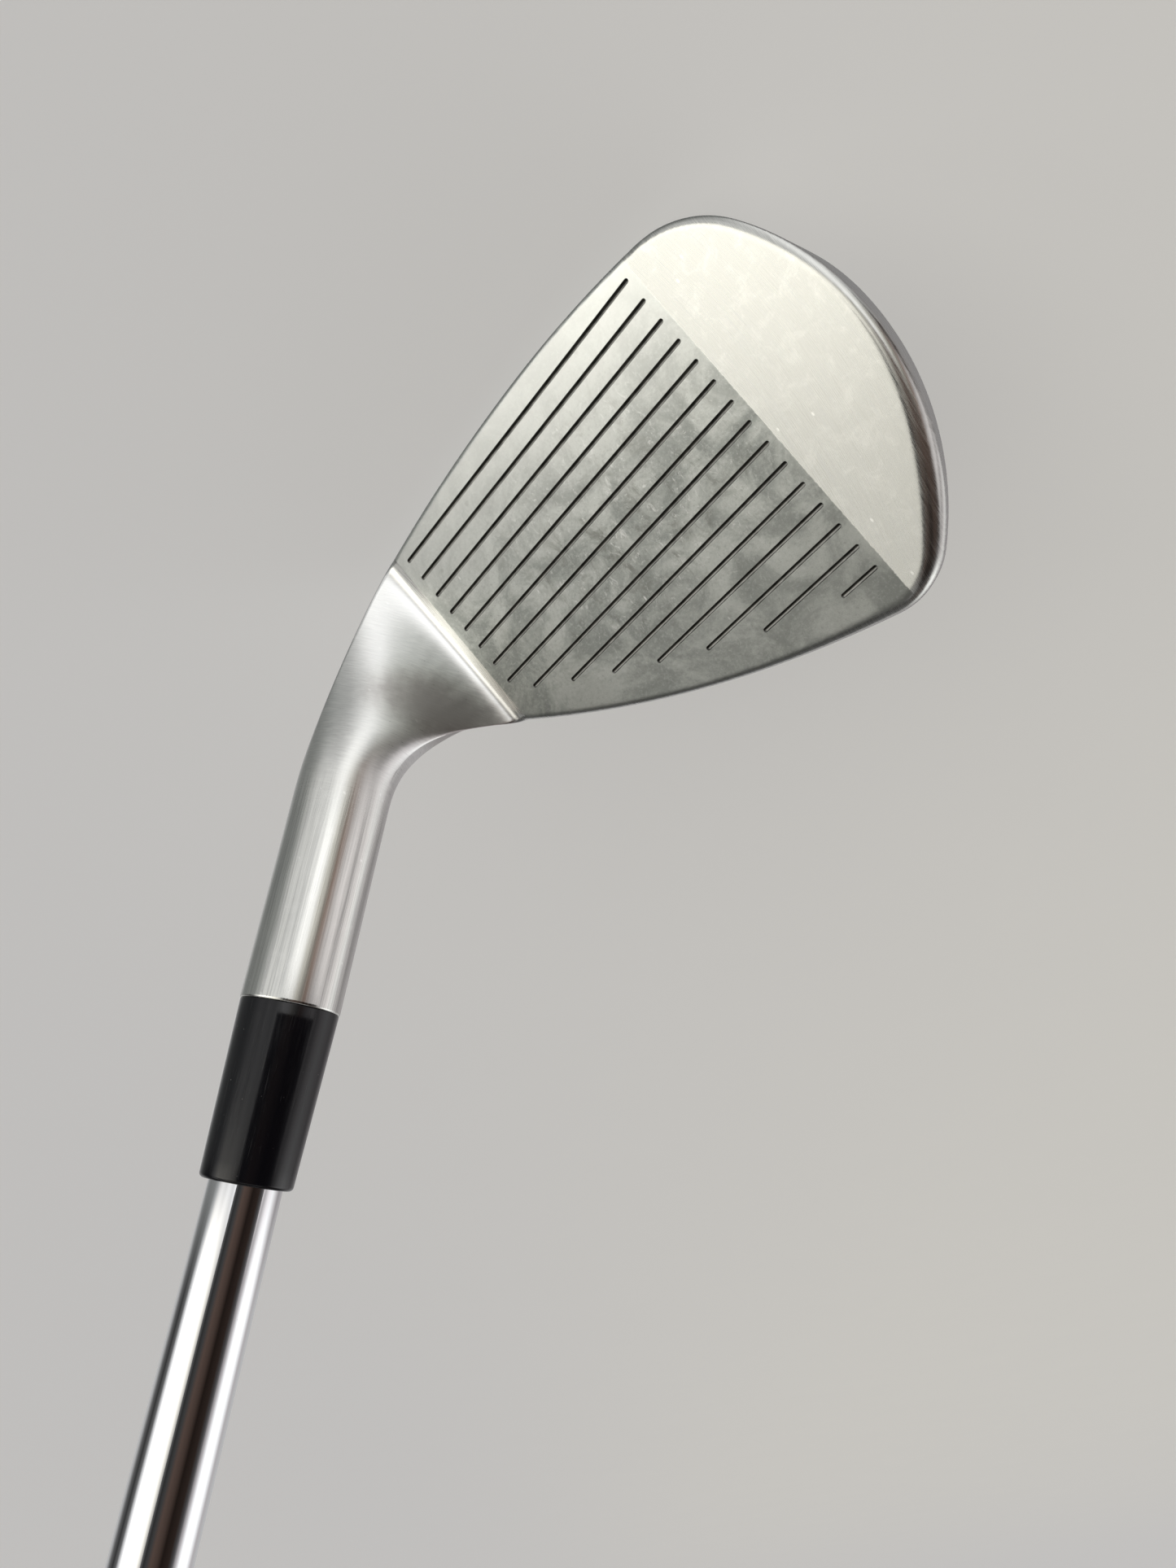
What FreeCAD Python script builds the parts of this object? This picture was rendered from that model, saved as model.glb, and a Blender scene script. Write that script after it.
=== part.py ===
import FreeCAD, Part
import math
import os
import re

import Sketcher

# An iron golf club of pitching-wedge loft, in millimetres, as it stands at address: +Z up, the face
# towards -Y, the toe towards -X and the shaft leaning towards +X. The origin is the point of the sole
# that meets the ground.
#
# Two local frames carry most of the pieces:
#   face frame   X along the score lines towards the toe, Y up the face, Z into the head; its origin is
#                the toe end of the lowest score line
#   shaft frame  Z up the shaft from where its axis meets the ground

SETTINGS = {
    # set-up of the head
    "loft_deg": 45.7,
    "lie_deg": 64.3,
    "line_end_x": -27.7,
    "line_end_y": -5.0,
    "line_end_z": 6.0,
    "axis_x": 24.15,
    "axis_y": -6.2,
    # blade
    "topline_thickness": 6.0,
    "back_taper": 0.13,
    "wall_draft": 0.1,
    "trailing_y": 13.2,
    "crest_height": 15.2,
    "sole_front_radius": 22.0,
    "sole_rear_radius": 45.0,
    "sole_rocker": 260.0,
    "blade_heel_x": 29.8,
    "face_edge_radius": 0.9,
    # score lines
    "full_line_count": 8,
    "line_pitch": 3.5,
    "full_line_length": 55.34,
    "line_width": 0.7,
    "line_depth": 0.4,
    "overcut": 0.5,
    # back cavity and its badge
    "face_plate": 3.6,
    "cavity_rim": 6.4,
    "cavity_floor_v": 20.0,
    "cavity_heel_u": -46.0,
    "cavity_corner": 3.6,
    "badge_gap": 0.6,
    "pad_thickness": 0.5,
    "badge_thickness": 1.2,
    # hosel, its bore and the ferrule
    "hosel_radius": 6.8,
    "hosel_bottom": 44.0,
    "hosel_top": 77.0,
    "bore_bottom": 45.0,
    "bond_gap": 0.11,
    "ferrule_length": 23.1,
    "ferrule_base_radius": 6.7,
    "ferrule_end_radius": 6.1,
    "ferrule_lip": 0.6,
    "ferrule_gap": 0.03,
    # shaft
    "shaft_bottom": 46.0,
    "shaft_tip_radius": 4.51,
    "tip_taper": 0.0057,
    "tip_top": 135.0,
    "first_step": 290.0,
    "step_count": 15,
    "step_pitch": 22.0,
    "step_length": 1.5,
    "butt_radius": 7.62,
    "club_length": 908.0,
    "tip_wall": 0.9,
    "middle_wall": 0.6,
    "butt_wall": 0.45,
    "plug_length": 18.0,
    "plug_gap": 0.02,
    # label, tape and grip
    "label_bottom": 607.0,
    "label_length": 26.0,
    "label_thickness": 0.12,
    "grip_length": 267.0,
    "tape_thickness": 0.2,
    "tape_setback": 4.0,
    "grip_butt_radius": 13.3,
    "cap_height": 4.0,
    "vent_radius": 1.0,
}

# The blade's outline seen square to the face, clockwise from the heel end of the topline, as tangent arcs:
# (radius, degrees turned): topline, upper toe corner, toe, lower toe corner and two arcs of leading edge.
OUTLINE_START = (-61.84, 27.91)
OUTLINE_HEADING = 35.3
OUTLINE_ARCS = ((182.6, 20.7), (9.8, 58.2), (39.7, 74.9), (15.7, 52.7), (167.0, 8.8), (306.0, 12.2))

# Heel ends of the lines that the topline shortens, measured from the toe ends.
SHORT_LINES = (52.22, 46.16, 39.85, 33.04, 25.82, 17.58, 6.31)

doc = FreeCAD.newDocument("iron_club")
sheet = doc.addObject("Spreadsheet::Sheet", "sizes")
for row, (alias, value) in enumerate(SETTINGS.items(), start=1):
    sheet.set(f"A{row}", alias)
    sheet.set(f"B{row}", str(value))
    sheet.setAlias(f"B{row}", alias)
doc.recompute()

Vector = FreeCAD.Vector
LOFT = math.radians(sheet.loft_deg)
LIE = math.radians(sheet.lie_deg)
FACE_ORIGIN = Vector(sheet.line_end_x, sheet.line_end_y, sheet.line_end_z)
FACE_U = Vector(-1, 0, 0)
FACE_V = Vector(0, math.sin(LOFT), math.cos(LOFT))
FACE_IN = Vector(0, math.cos(LOFT), -math.sin(LOFT))
AXIS_FOOT = Vector(sheet.axis_x, sheet.axis_y, 0)
AXIS_UP = Vector(math.cos(LIE), 0, math.sin(LIE))

FACE_FRAME = FreeCAD.Placement(FACE_ORIGIN, FreeCAD.Rotation(FACE_U, FACE_V, FACE_IN, "XYZ"))
SHAFT_FRAME = FreeCAD.Placement(AXIS_FOOT, FreeCAD.Rotation(Vector(0, 1, 0), 90 - sheet.lie_deg))

pieces = []


def value(words):
    """What an expression in the sheet's words comes to."""
    return float(sheet.evalExpression(words))


def bound(words):
    """The same expression as another object has to write it."""
    return re.sub(r"[a-z]\w+", lambda word: "sizes." + word[0] if word[0] in SETTINGS else word[0], words)


def keep(feature, label):
    """Names a finished sub-part and puts it on the export list."""
    feature.Label = label
    pieces.append(feature)
    return feature


def body_plane(body, role):
    for feature in body.Origin.OriginFeatures:
        if feature.Role == role:
            return feature
    raise ValueError(role)


def new_body(name, placement, role="XY_Plane"):
    """A body in one of the local frames, with an empty sketch on one of its own origin planes."""
    body = doc.addObject("PartDesign::Body", name)
    body.Placement = placement
    sketch = body.newObject("Sketcher::SketchObject", name + "_sketch")
    sketch.AttachmentSupport = (body_plane(body, role), "")
    sketch.MapMode = "FlatFace"
    return body, sketch


def join_ends(sketch, count, closed=True):
    """Ties the end of each edge of a chain to the start of the next, for edges drawn head to tail."""
    for edge in range(count if closed else count - 1):
        sketch.addConstraint(Sketcher.Constraint("Coincident", edge, 2, (edge + 1) % count, 1))


def draw_polygon(sketch, points):
    for start, end in zip(points, points[1:] + points[:1]):
        sketch.addGeometry(Part.LineSegment(Vector(*start, 0), Vector(*end, 0)), False)
    join_ends(sketch, len(points))


def pad(body, sketch, length):
    feature = body.newObject("PartDesign::Pad", body.Name + "_pad")
    feature.Profile = sketch
    feature.setExpression("Length", length)
    sketch.Visibility = False
    return feature


def tie(sketch, edge, end, kind, words):
    """Holds one end of an edge (3 is an arc's centre) at a distance from the sketch's origin."""
    distance = value(words)
    if distance == 0:
        axis = -2 if kind == "DistanceX" else -1
        sketch.addConstraint(Sketcher.Constraint("PointOnObject", edge, end, axis))
    elif distance > 0:
        number = sketch.addConstraint(Sketcher.Constraint(kind, -1, 1, edge, end, distance))
        sketch.setExpression(f"Constraints[{number}]", bound(words))
    else:
        number = sketch.addConstraint(Sketcher.Constraint(kind, edge, end, -1, 1, -distance))
        sketch.setExpression(f"Constraints[{number}]", bound(f"-({words})"))


def turned(name, corners):
    """A piece turned round the shaft's axis, from a loop of corners (radius, height), in sheet words."""
    body, sketch = new_body(name, SHAFT_FRAME, "XZ_Plane")
    draw_polygon(sketch, [(value(radius), value(height)) for radius, height in corners])
    for edge, (radius, height) in enumerate(corners):
        tie(sketch, edge, 1, "DistanceX", radius)
        tie(sketch, edge, 1, "DistanceY", height)
    feature = body.newObject("PartDesign::Revolution", name + "_turn")
    feature.Profile = sketch
    feature.ReferenceAxis = (sketch, ["V_Axis"])
    feature.Angle = 360
    return body


# ---------------------------------------------------------------- blade


def outline_edges(inset):
    """Edges of the blade's outline, moved inwards, in the face frame. Concentric arcs keep it smooth."""
    heading = math.radians(OUTLINE_HEADING)
    x, y = OUTLINE_START
    edges = []
    for radius, turn in OUTLINE_ARCS:
        centre = (x + radius * math.sin(heading), y - radius * math.cos(heading))

        def on_arc(at, reach=radius - inset, middle=centre):
            return Vector(middle[0] - reach * math.sin(at), middle[1] + reach * math.cos(at), 0)

        finish = heading - math.radians(turn)
        edges.append(Part.Arc(on_arc(heading), on_arc((heading + finish) / 2), on_arc(finish)).toShape())
        end = on_arc(finish, radius)
        x, y, heading = end.x, end.y, finish
    first = edges[0].Vertexes[0].Point
    last = edges[-1].Vertexes[-1].Point
    edges.append(Part.makeLine(last, first))
    return edges


def outline_prism(name, inset, start, depth, draft=0.0):
    """The outline as a prism square to the face, from start on, drawing in by draft per millimetre of depth."""
    front = Part.Wire(outline_edges(inset))
    back = Part.Wire(outline_edges(inset + depth * draft))
    front.translate(Vector(0, 0, start))
    back.translate(Vector(0, 0, start + depth))
    feature = doc.addObject("Part::Feature", name)
    feature.Shape = Part.makeLoft([front, back], True, True)
    feature.Placement = FACE_FRAME
    return feature


def face_to_world(u, v, depth):
    return FACE_FRAME.multVec(Vector(u, v, depth))


def back_depth(v):
    """Thickness of the upper blade behind a height v on the face."""
    return sheet.topline_thickness + (50 - v) * sheet.back_taper


def profile_corners():
    """The blade's wedge section as (y, z): up the face, down the back and trailing wall, back below."""
    corners = []
    crest = sheet.crest_height
    for v, depth in ((-20, -5), (70, -5), (70, back_depth(70)), (crest, back_depth(crest))):
        point = face_to_world(0, v, depth)
        corners.append((point.y, point.z))
    corners.append((sheet.trailing_y, -9))
    return corners


blade_blank = outline_prism("blade_blank", 0, 0, 32, sheet.wall_draft)
to_face = FACE_FRAME.inverse()
front_edges = [
    number
    for number, edge in enumerate(blade_blank.Shape.Edges, start=1)
    if isinstance(edge.Curve, Part.Circle) and abs(to_face.multVec(edge.Vertexes[0].Point).z) < 0.001
]
blade_outline = doc.addObject("Part::Fillet", "blade_outline")
blade_outline.Base = blade_blank
blade_outline.Edges = [(number, sheet.face_edge_radius, sheet.face_edge_radius) for number in front_edges]
doc.recompute()

blade_profile, profile_sketch = new_body("blade_profile", FreeCAD.Placement(), "YZ_Plane")
draw_polygon(profile_sketch, profile_corners())
profile_pad = pad(blade_profile, profile_sketch, "2 * sizes.blade_heel_x + 52")
profile_pad.Midplane = True
doc.recompute()
shift = sheet.blade_heel_x - blade_profile.Shape.BoundBox.XMax
blade_profile.Placement = FreeCAD.Placement(Vector(shift, 0, 0), FreeCAD.Rotation())


def sole_revolve():
    """Everything above the sole: two camber arcs that meet at the ground, swung along the rocker."""
    front = sheet.sole_front_radius
    rear = sheet.sole_rear_radius
    height = sheet.sole_rocker
    reach_front = -front * math.sin(math.radians(80))
    reach_rear = rear * math.sin(math.radians(62))

    def on_camber(radius, y):
        return Vector(0, y, radius - math.sqrt(radius * radius - y * y))

    edges = [
        Part.Arc(on_camber(front, reach_front), on_camber(front, reach_front / 2), Vector()).toShape(),
        Part.Arc(Vector(), on_camber(rear, reach_rear / 2), on_camber(rear, reach_rear)).toShape(),
    ]
    top = 80
    ends = [on_camber(rear, reach_rear), Vector(0, reach_rear, top), Vector(0, reach_front, top)]
    ends.append(on_camber(front, reach_front))
    edges += [Part.makeLine(a, b) for a, b in zip(ends, ends[1:])]
    section = Part.Face(Part.Wire(edges))
    section.rotate(Vector(0, 0, height), Vector(0, 1, 0), -20)
    return section.revolve(Vector(0, 0, height), Vector(0, 1, 0), 40)


above_sole = doc.addObject("Part::Feature", "above_sole")
above_sole.Shape = sole_revolve()

blade = doc.addObject("Part::MultiCommon", "blade")
blade.Shapes = [blade_outline, blade_profile, above_sole]
doc.recompute()

# ---------------------------------------------------------------- neck and hosel

# How hard the neck's rails pull away from each of its ends, how many sections it is drawn through, and
# how far the sections sit inside the blade's and the hosel's own surfaces.
NECK_TANGENT_AT_BLADE = 12.0
NECK_TANGENT_AT_HOSEL = 24.0
NECK_SECTIONS = 7
SECTION_INSET = 0.03


def sole_height(x, y):
    radius = sheet.sole_front_radius if y < 0 else sheet.sole_rear_radius
    return radius - math.sqrt(radius * radius - y * y) + x * x / (2 * sheet.sole_rocker)


def topline_v(u):
    """Height of the topline's front edge above the lowest score line."""
    radius = OUTLINE_ARCS[0][0]
    heading = math.radians(OUTLINE_HEADING)
    centre_u = OUTLINE_START[0] + radius * math.sin(heading)
    centre_v = OUTLINE_START[1] - radius * math.cos(heading)
    return centre_v + math.sqrt(radius * radius - (u - centre_u) ** 2)


def heel_corners():
    """The blade's heel section, corner by corner.

    Each is (y, z, angle, points): the angle is the place on the hosel that the corner grows into, in
    degrees round the shaft from its toe side towards its back, and the points are for the side that
    follows the corner.
    """
    x = sheet.blade_heel_x
    top = topline_v(sheet.line_end_x - x)
    front = face_to_world(0, top, 0)
    back = face_to_world(0, top, back_depth(top))
    crest = face_to_world(0, sheet.crest_height, back_depth(sheet.crest_height))
    lip = face_to_world(0, -2.4, 0)
    return [
        (lip.y, lip.z, -92, 16),
        (front.y, front.z, 35, 4),
        (back.y, back.z, 75, 8),
        (crest.y, crest.z, 115, 4),
        (sheet.trailing_y, sole_height(x, sheet.trailing_y), 150, 8),
        (2.0, sole_height(x, 2.0), 215, 8),
    ]


def neck_rails():
    """Pairs of points, on the blade's heel section and the hosel's lower end, that one smooth rail joins."""
    corners = heel_corners()
    hosel_base = AXIS_FOOT + AXIS_UP * sheet.hosel_bottom
    toe_side = Vector(-AXIS_UP.z, 0, AXIS_UP.x)
    middle = Vector(sheet.blade_heel_x, 6, 12)
    rails = []
    for index, (y, z, angle, count) in enumerate(corners):
        next_y, next_z, next_angle, _ = corners[(index + 1) % len(corners)]
        if next_angle < angle:
            next_angle += 360
        for step in range(count):
            part = (step + 0.5) / count
            at_blade = Vector(sheet.blade_heel_x, y + (next_y - y) * part, z + (next_z - z) * part)
            inwards = (middle - at_blade).normalize()
            turn = math.radians(angle + (next_angle - angle) * part)
            outwards = toe_side * math.cos(turn) + Vector(0, 1, 0) * math.sin(turn)
            at_hosel = hosel_base + outwards * (sheet.hosel_radius - SECTION_INSET)
            rails.append((at_blade + inwards * SECTION_INSET, at_hosel))
    return rails


def neck_section(rails, part):
    """The neck's closed section a given part of the way along its rails, which are Hermite curves."""
    near, far = 1 - part, part
    points = []
    for start, end in rails:
        point = start * (near * near * (1 + 2 * far)) + end * (far * far * (1 + 2 * near))
        point += Vector(1, 0, 0) * (NECK_TANGENT_AT_BLADE * near * near * far)
        point -= AXIS_UP * (NECK_TANGENT_AT_HOSEL * far * far * near)
        points.append(point)
    return points + points[:1]


def neck_solid():
    """One smooth skin through the neck's sections, closed by a flat end on the blade and on the hosel."""
    rails = neck_rails()
    surface = Part.BSplineSurface()
    surface.interpolate([neck_section(rails, i / (NECK_SECTIONS - 1)) for i in range(NECK_SECTIONS)])
    skin = surface.toShape()
    first, last = surface.bounds()[:2]
    caps = [Part.Face(Part.Wire(surface.uIso(at).toShape())) for at in (first, last)]
    shell = Part.makeShell([skin] + caps)
    shell.sewShape()
    solid = Part.Solid(shell)
    if solid.Volume < 0:
        solid.reverse()
    return solid


neck = doc.addObject("Part::Feature", "neck")
neck.Shape = neck_solid()

hosel = doc.addObject("Part::Cylinder", "hosel")
hosel.setExpression("Radius", bound("hosel_radius"))
hosel.setExpression("Height", bound("hosel_top - hosel_bottom"))
hosel_rise = FreeCAD.Placement(Vector(0, 0, sheet.hosel_bottom), FreeCAD.Rotation())
hosel.Placement = SHAFT_FRAME.multiply(hosel_rise)

head_blank = doc.addObject("Part::MultiFuse", "head_blank")
head_blank.Shapes = [blade, neck, hosel]
doc.recompute()

# ---------------------------------------------------------------- cuts in the head


def up_shaft(distance):
    """The shaft frame moved up its axis."""
    return SHAFT_FRAME.multiply(FreeCAD.Placement(Vector(0, 0, distance), FreeCAD.Rotation()))


def into_head(depth):
    """The face frame moved into the head."""
    return FACE_FRAME.multiply(FreeCAD.Placement(Vector(0, 0, depth), FreeCAD.Rotation()))


def tip_at(height):
    """Outer radius of the shaft's tapered tip, in sheet words."""
    return f"(shaft_tip_radius + ({height} - shaft_bottom) * tip_taper)"


def draw_line_slot(sketch, length, height):
    """One score line, drawn anticlockwise: a straight slot with round ends, its toe end by the origin."""
    half = sheet.line_width / 2
    middle = value(height)
    far = half - value(length)
    up = Vector(0, 0, 1)
    toe_end = Part.Circle(Vector(-half, middle, 0), up, half)
    heel_end = Part.Circle(Vector(far, middle, 0), up, half)
    first = sketch.GeometryCount
    low = middle - half
    high = middle + half
    sketch.addGeometry(Part.LineSegment(Vector(far, low, 0), Vector(-half, low, 0)), False)
    sketch.addGeometry(Part.ArcOfCircle(toe_end, -math.pi / 2, math.pi / 2), False)
    sketch.addGeometry(Part.LineSegment(Vector(-half, high, 0), Vector(far, high, 0)), False)
    sketch.addGeometry(Part.ArcOfCircle(heel_end, math.pi / 2, math.pi * 3 / 2), False)
    for edge in range(4):
        sketch.addConstraint(Sketcher.Constraint("Tangent", first + edge, 2, first + (edge + 1) % 4, 1))
    radius = sketch.addConstraint(Sketcher.Constraint("Radius", first + 1, half))
    sketch.setExpression(f"Constraints[{radius}]", bound("line_width / 2"))
    tie(sketch, first + 1, 3, "DistanceX", "-line_width / 2")
    tie(sketch, first + 1, 3, "DistanceY", height)
    tie(sketch, first + 3, 3, "DistanceX", f"line_width / 2 - {length}")
    tie(sketch, first + 3, 3, "DistanceY", height)


score_lines, line_sketch = new_body("score_lines", into_head(-sheet.overcut))
line_lengths = ["full_line_length"] * int(sheet.full_line_count) + [str(length) for length in SHORT_LINES]
for number, length in enumerate(line_lengths):
    draw_line_slot(line_sketch, length, f"{number} * line_pitch")
pad(score_lines, line_sketch, bound("line_depth + overcut"))

bore = doc.addObject("Part::Cone", "bore")
bore.setExpression("Radius1", bound(tip_at("bore_bottom") + " + bond_gap"))
bore.setExpression("Radius2", bound(tip_at("(hosel_top + overcut)") + " + bond_gap"))
bore.setExpression("Height", bound("hosel_top + overcut - bore_bottom"))
bore.Placement = up_shaft(sheet.bore_bottom)


def cavity_block(name, gap, start, depth):
    """A block of the cavity's own outline, a gap inside its walls, with its two lower corners rounded."""
    window = doc.addObject("Part::Box", name + "_window")
    window.Length = 80
    window.Width = 60
    window.Height = depth
    corner = Vector(sheet.cavity_heel_u + gap, sheet.cavity_floor_v + gap, start)
    window.Placement = FACE_FRAME.multiply(FreeCAD.Placement(corner, FreeCAD.Rotation()))
    block = doc.addObject("Part::MultiCommon", name + "_block")
    block.Shapes = [outline_prism(name + "_outline", sheet.cavity_rim + gap, start, depth), window]
    doc.recompute()
    radius = sheet.cavity_corner - gap
    square_corners = []
    for number, edge in enumerate(block.Shape.Edges, start=1):
        start_point = to_face.multVec(edge.Vertexes[0].Point)
        end_point = to_face.multVec(edge.Vertexes[-1].Point)
        across = math.hypot(start_point.x - end_point.x, start_point.y - end_point.y)
        low = start_point.y < sheet.cavity_floor_v + gap + 0.1
        heelward = start_point.x < sheet.cavity_heel_u + gap + 0.1
        if across < 0.01 and (low or heelward):
            square_corners.append((number, radius, radius))
    rounded = doc.addObject("Part::Fillet", name)
    rounded.Base = block
    rounded.Edges = square_corners
    doc.recompute()
    return rounded


cavity = cavity_block("cavity", 0, sheet.face_plate, 30)

head_cuts = doc.addObject("Part::MultiFuse", "head_cuts")
head_cuts.Shapes = [score_lines, bore, cavity]

club_head = doc.addObject("Part::Cut", "head_with_cuts")
club_head.Base = head_blank
club_head.Tool = head_cuts
keep(club_head, "club_head")

# ---------------------------------------------------------------- badge in the cavity

badge_pad = cavity_block("badge_pad", sheet.badge_gap, sheet.face_plate, sheet.pad_thickness)
keep(badge_pad, "badge_adhesive_pad")

badge_start = sheet.face_plate + sheet.pad_thickness
badge = cavity_block("badge", sheet.badge_gap, badge_start, sheet.badge_thickness)
keep(badge, "cavity_badge")

# ---------------------------------------------------------------- shaft, bond, weight and ferrule

SHAFT_TOP = "(club_length - cap_height)"
STRAIGHT_RADIUS = tip_at("tip_top")
STEP_RISE = f"((butt_radius - {STRAIGHT_RADIUS}) / step_count)"
STEPS_END = "(first_step + step_count * step_pitch)"


def shaft_corners():
    """Tapered tip, a plain stretch, short steps up in width and a straight butt, then down the bore."""
    outside = [("shaft_tip_radius", "shaft_bottom"), (STRAIGHT_RADIUS, "tip_top")]
    for step in range(int(sheet.step_count)):
        height = f"first_step + {step} * step_pitch"
        outside.append((f"{STRAIGHT_RADIUS} + {step} * {STEP_RISE}", height))
        outside.append((f"{STRAIGHT_RADIUS} + {step + 1} * {STEP_RISE}", height + " + step_length"))
    outside.append(("butt_radius", SHAFT_TOP))
    inside = [
        ("butt_radius - butt_wall", SHAFT_TOP),
        ("butt_radius - butt_wall", STEPS_END),
        (f"{STRAIGHT_RADIUS} - middle_wall", "first_step"),
        (f"{STRAIGHT_RADIUS} - tip_wall", "tip_top"),
        ("shaft_tip_radius - tip_wall", "shaft_bottom"),
    ]
    return outside + inside


keep(turned("shaft_body", shaft_corners()), "shaft")

epoxy_corners = [
    ("0", "bore_bottom"),
    (tip_at("bore_bottom") + " + bond_gap", "bore_bottom"),
    (tip_at("hosel_top") + " + bond_gap", "hosel_top"),
    (tip_at("hosel_top"), "hosel_top"),
    ("shaft_tip_radius", "shaft_bottom"),
    ("0", "shaft_bottom"),
]
keep(turned("epoxy_body", epoxy_corners), "hosel_epoxy")

plug_top = "shaft_bottom + plug_length"
plug_corners = [
    ("0", "shaft_bottom"),
    ("shaft_tip_radius - tip_wall - plug_gap", "shaft_bottom"),
    (tip_at(f"({plug_top})") + " - tip_wall - plug_gap", plug_top),
    ("0", plug_top),
]
keep(turned("plug_body", plug_corners), "swing_weight_plug")


def ferrule_corners():
    """A slow taper off the hosel, a rounded upper edge and a tapered hole for the shaft."""
    top = "(hosel_top + ferrule_length)"
    corners = [("ferrule_base_radius", "hosel_top")]
    for part in range(7):
        inward = f"(1 - cos({15 * part} deg))"
        upward = f"(1 - sin({15 * part} deg))"
        corners.append((f"ferrule_end_radius - ferrule_lip * {inward}", f"{top} - ferrule_lip * {upward}"))
    corners.append((tip_at(top) + " + ferrule_gap", top))
    corners.append((tip_at("hosel_top") + " + ferrule_gap", "hosel_top"))
    return corners


keep(turned("ferrule_body", ferrule_corners()), "ferrule")

# ---------------------------------------------------------------- label, tape, grip and cap


def tube(name, inner, outer, bottom, top):
    """A plain tube round the shaft."""
    return turned(name, [(inner, bottom), (outer, bottom), (outer, top), (inner, top)])


LABEL_TOP = "label_bottom + label_length"
LABEL_RADIUS = "butt_radius + label_thickness"
keep(tube("label_body", "butt_radius", LABEL_RADIUS, "label_bottom", LABEL_TOP), "shaft_label")

GRIP_BOTTOM = "club_length - grip_length"
TAPE_BOTTOM = GRIP_BOTTOM + " + tape_setback"
TAPE_RADIUS = "butt_radius + tape_thickness"
keep(tube("tape_body", "butt_radius", TAPE_RADIUS, TAPE_BOTTOM, SHAFT_TOP), "grip_tape")

# The grip's radius at heights above its mouth: a small rolled lip, a long taper and a flare to the butt.
GRIP_SHAPE = ((0, 8.3), (1, 8.7), (59, 9.6), (129, 10.4), (194, 11.1), (224, 11.7), (244, 12.6), (256, 13.2))


def grip_corners():
    outside = [(str(radius), f"{GRIP_BOTTOM} + {rise}") for rise, radius in GRIP_SHAPE]
    outside.append(("grip_butt_radius", SHAFT_TOP))
    inside = [(TAPE_RADIUS, SHAFT_TOP), (TAPE_RADIUS, TAPE_BOTTOM)]
    inside += [("butt_radius", TAPE_BOTTOM), ("butt_radius", GRIP_BOTTOM)]
    return outside + inside


keep(turned("sleeve_body", grip_corners()), "grip_sleeve")

# How far the cap's rounded edge has drawn in, and how far it has risen, as parts of the cap's height.
CAP_EDGE = ((0, 0), (0.05, 0.5), (0.3, 0.88), (0.7, 1))
cap_corners = [("vent_radius", SHAFT_TOP)]
for drawn_in, rise in CAP_EDGE:
    cap_corners.append((f"grip_butt_radius - {drawn_in} * cap_height", f"{SHAFT_TOP} + {rise} * cap_height"))
cap_corners.append(("vent_radius", "club_length"))
keep(turned("cap_body", cap_corners), "grip_end_cap")

# ---------------------------------------------------------------- checks and export

doc.recompute()
for item in doc.Objects:
    if "Invalid" in item.State or "Error" in item.State:
        raise RuntimeError(f"{item.Name}: {item.State}")
for piece in pieces:
    if piece.Shape.isNull() or not piece.Shape.isValid() or len(piece.Shape.Solids) != 1:
        raise RuntimeError(f"{piece.Label} is not one valid solid")

os.makedirs("parts", exist_ok=True)
for piece in pieces:
    piece.Shape.exportStep(f"parts/{piece.Label}.step")
    print(f"{piece.Label}: {piece.Shape.Volume / 1000:.2f} cm3")
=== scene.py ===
import math

import bmesh
import bpy
import numpy as np
from mathutils import Matrix, Vector


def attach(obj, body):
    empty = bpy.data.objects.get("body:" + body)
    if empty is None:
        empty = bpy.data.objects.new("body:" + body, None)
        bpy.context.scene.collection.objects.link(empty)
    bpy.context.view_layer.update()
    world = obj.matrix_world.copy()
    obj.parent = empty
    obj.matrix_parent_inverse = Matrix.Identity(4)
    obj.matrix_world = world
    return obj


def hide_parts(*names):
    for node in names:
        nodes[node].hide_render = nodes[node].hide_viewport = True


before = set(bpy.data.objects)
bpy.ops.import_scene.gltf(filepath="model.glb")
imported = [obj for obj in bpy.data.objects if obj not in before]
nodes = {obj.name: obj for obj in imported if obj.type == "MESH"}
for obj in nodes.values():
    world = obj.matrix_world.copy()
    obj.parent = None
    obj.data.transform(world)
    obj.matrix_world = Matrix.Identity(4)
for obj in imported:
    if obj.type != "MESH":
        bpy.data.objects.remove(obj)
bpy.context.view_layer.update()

# The iron's looks. Shapes are in millimetres, in the CAD frame, and turn into metres when a mesh is made. The
# head stands at address: +Z up, face towards -Y, toe towards -X, shaft leaning towards +X.
MM = 0.001

LOFT = math.radians(45.7)
LIE = math.radians(64.3)

# The face frame, from the toe end of the lowest score line: U towards the toe, V up the face, D into it.
FACE_ORIGIN = np.array([-27.7, -5.0, 6.0])
FACE_U = np.array([-1.0, 0.0, 0.0])
FACE_V = np.array([0.0, math.sin(LOFT), math.cos(LOFT)])
FACE_D = np.array([0.0, math.cos(LOFT), -math.sin(LOFT)])

# The shaft frame: its axis meets the ground at SHAFT_FOOT.
SHAFT_FOOT = np.array([24.15, -6.2, 0.0])
SHAFT_UP = np.array([math.cos(LIE), 0.0, math.sin(LIE)])
SHAFT_TOEWARD = np.array([-math.sin(LIE), 0.0, math.cos(LIE)])
SHAFT_BACK = np.array([0.0, 1.0, 0.0])

TURNED_SEGMENTS = 160

HOSEL_RADIUS = 6.8
HOSEL_BOTTOM = 48.0
HOSEL_TOP = 77.0
BORE_BOTTOM = 45.0
BORE_RADIUS = 4.8


# ---- meshes


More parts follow.
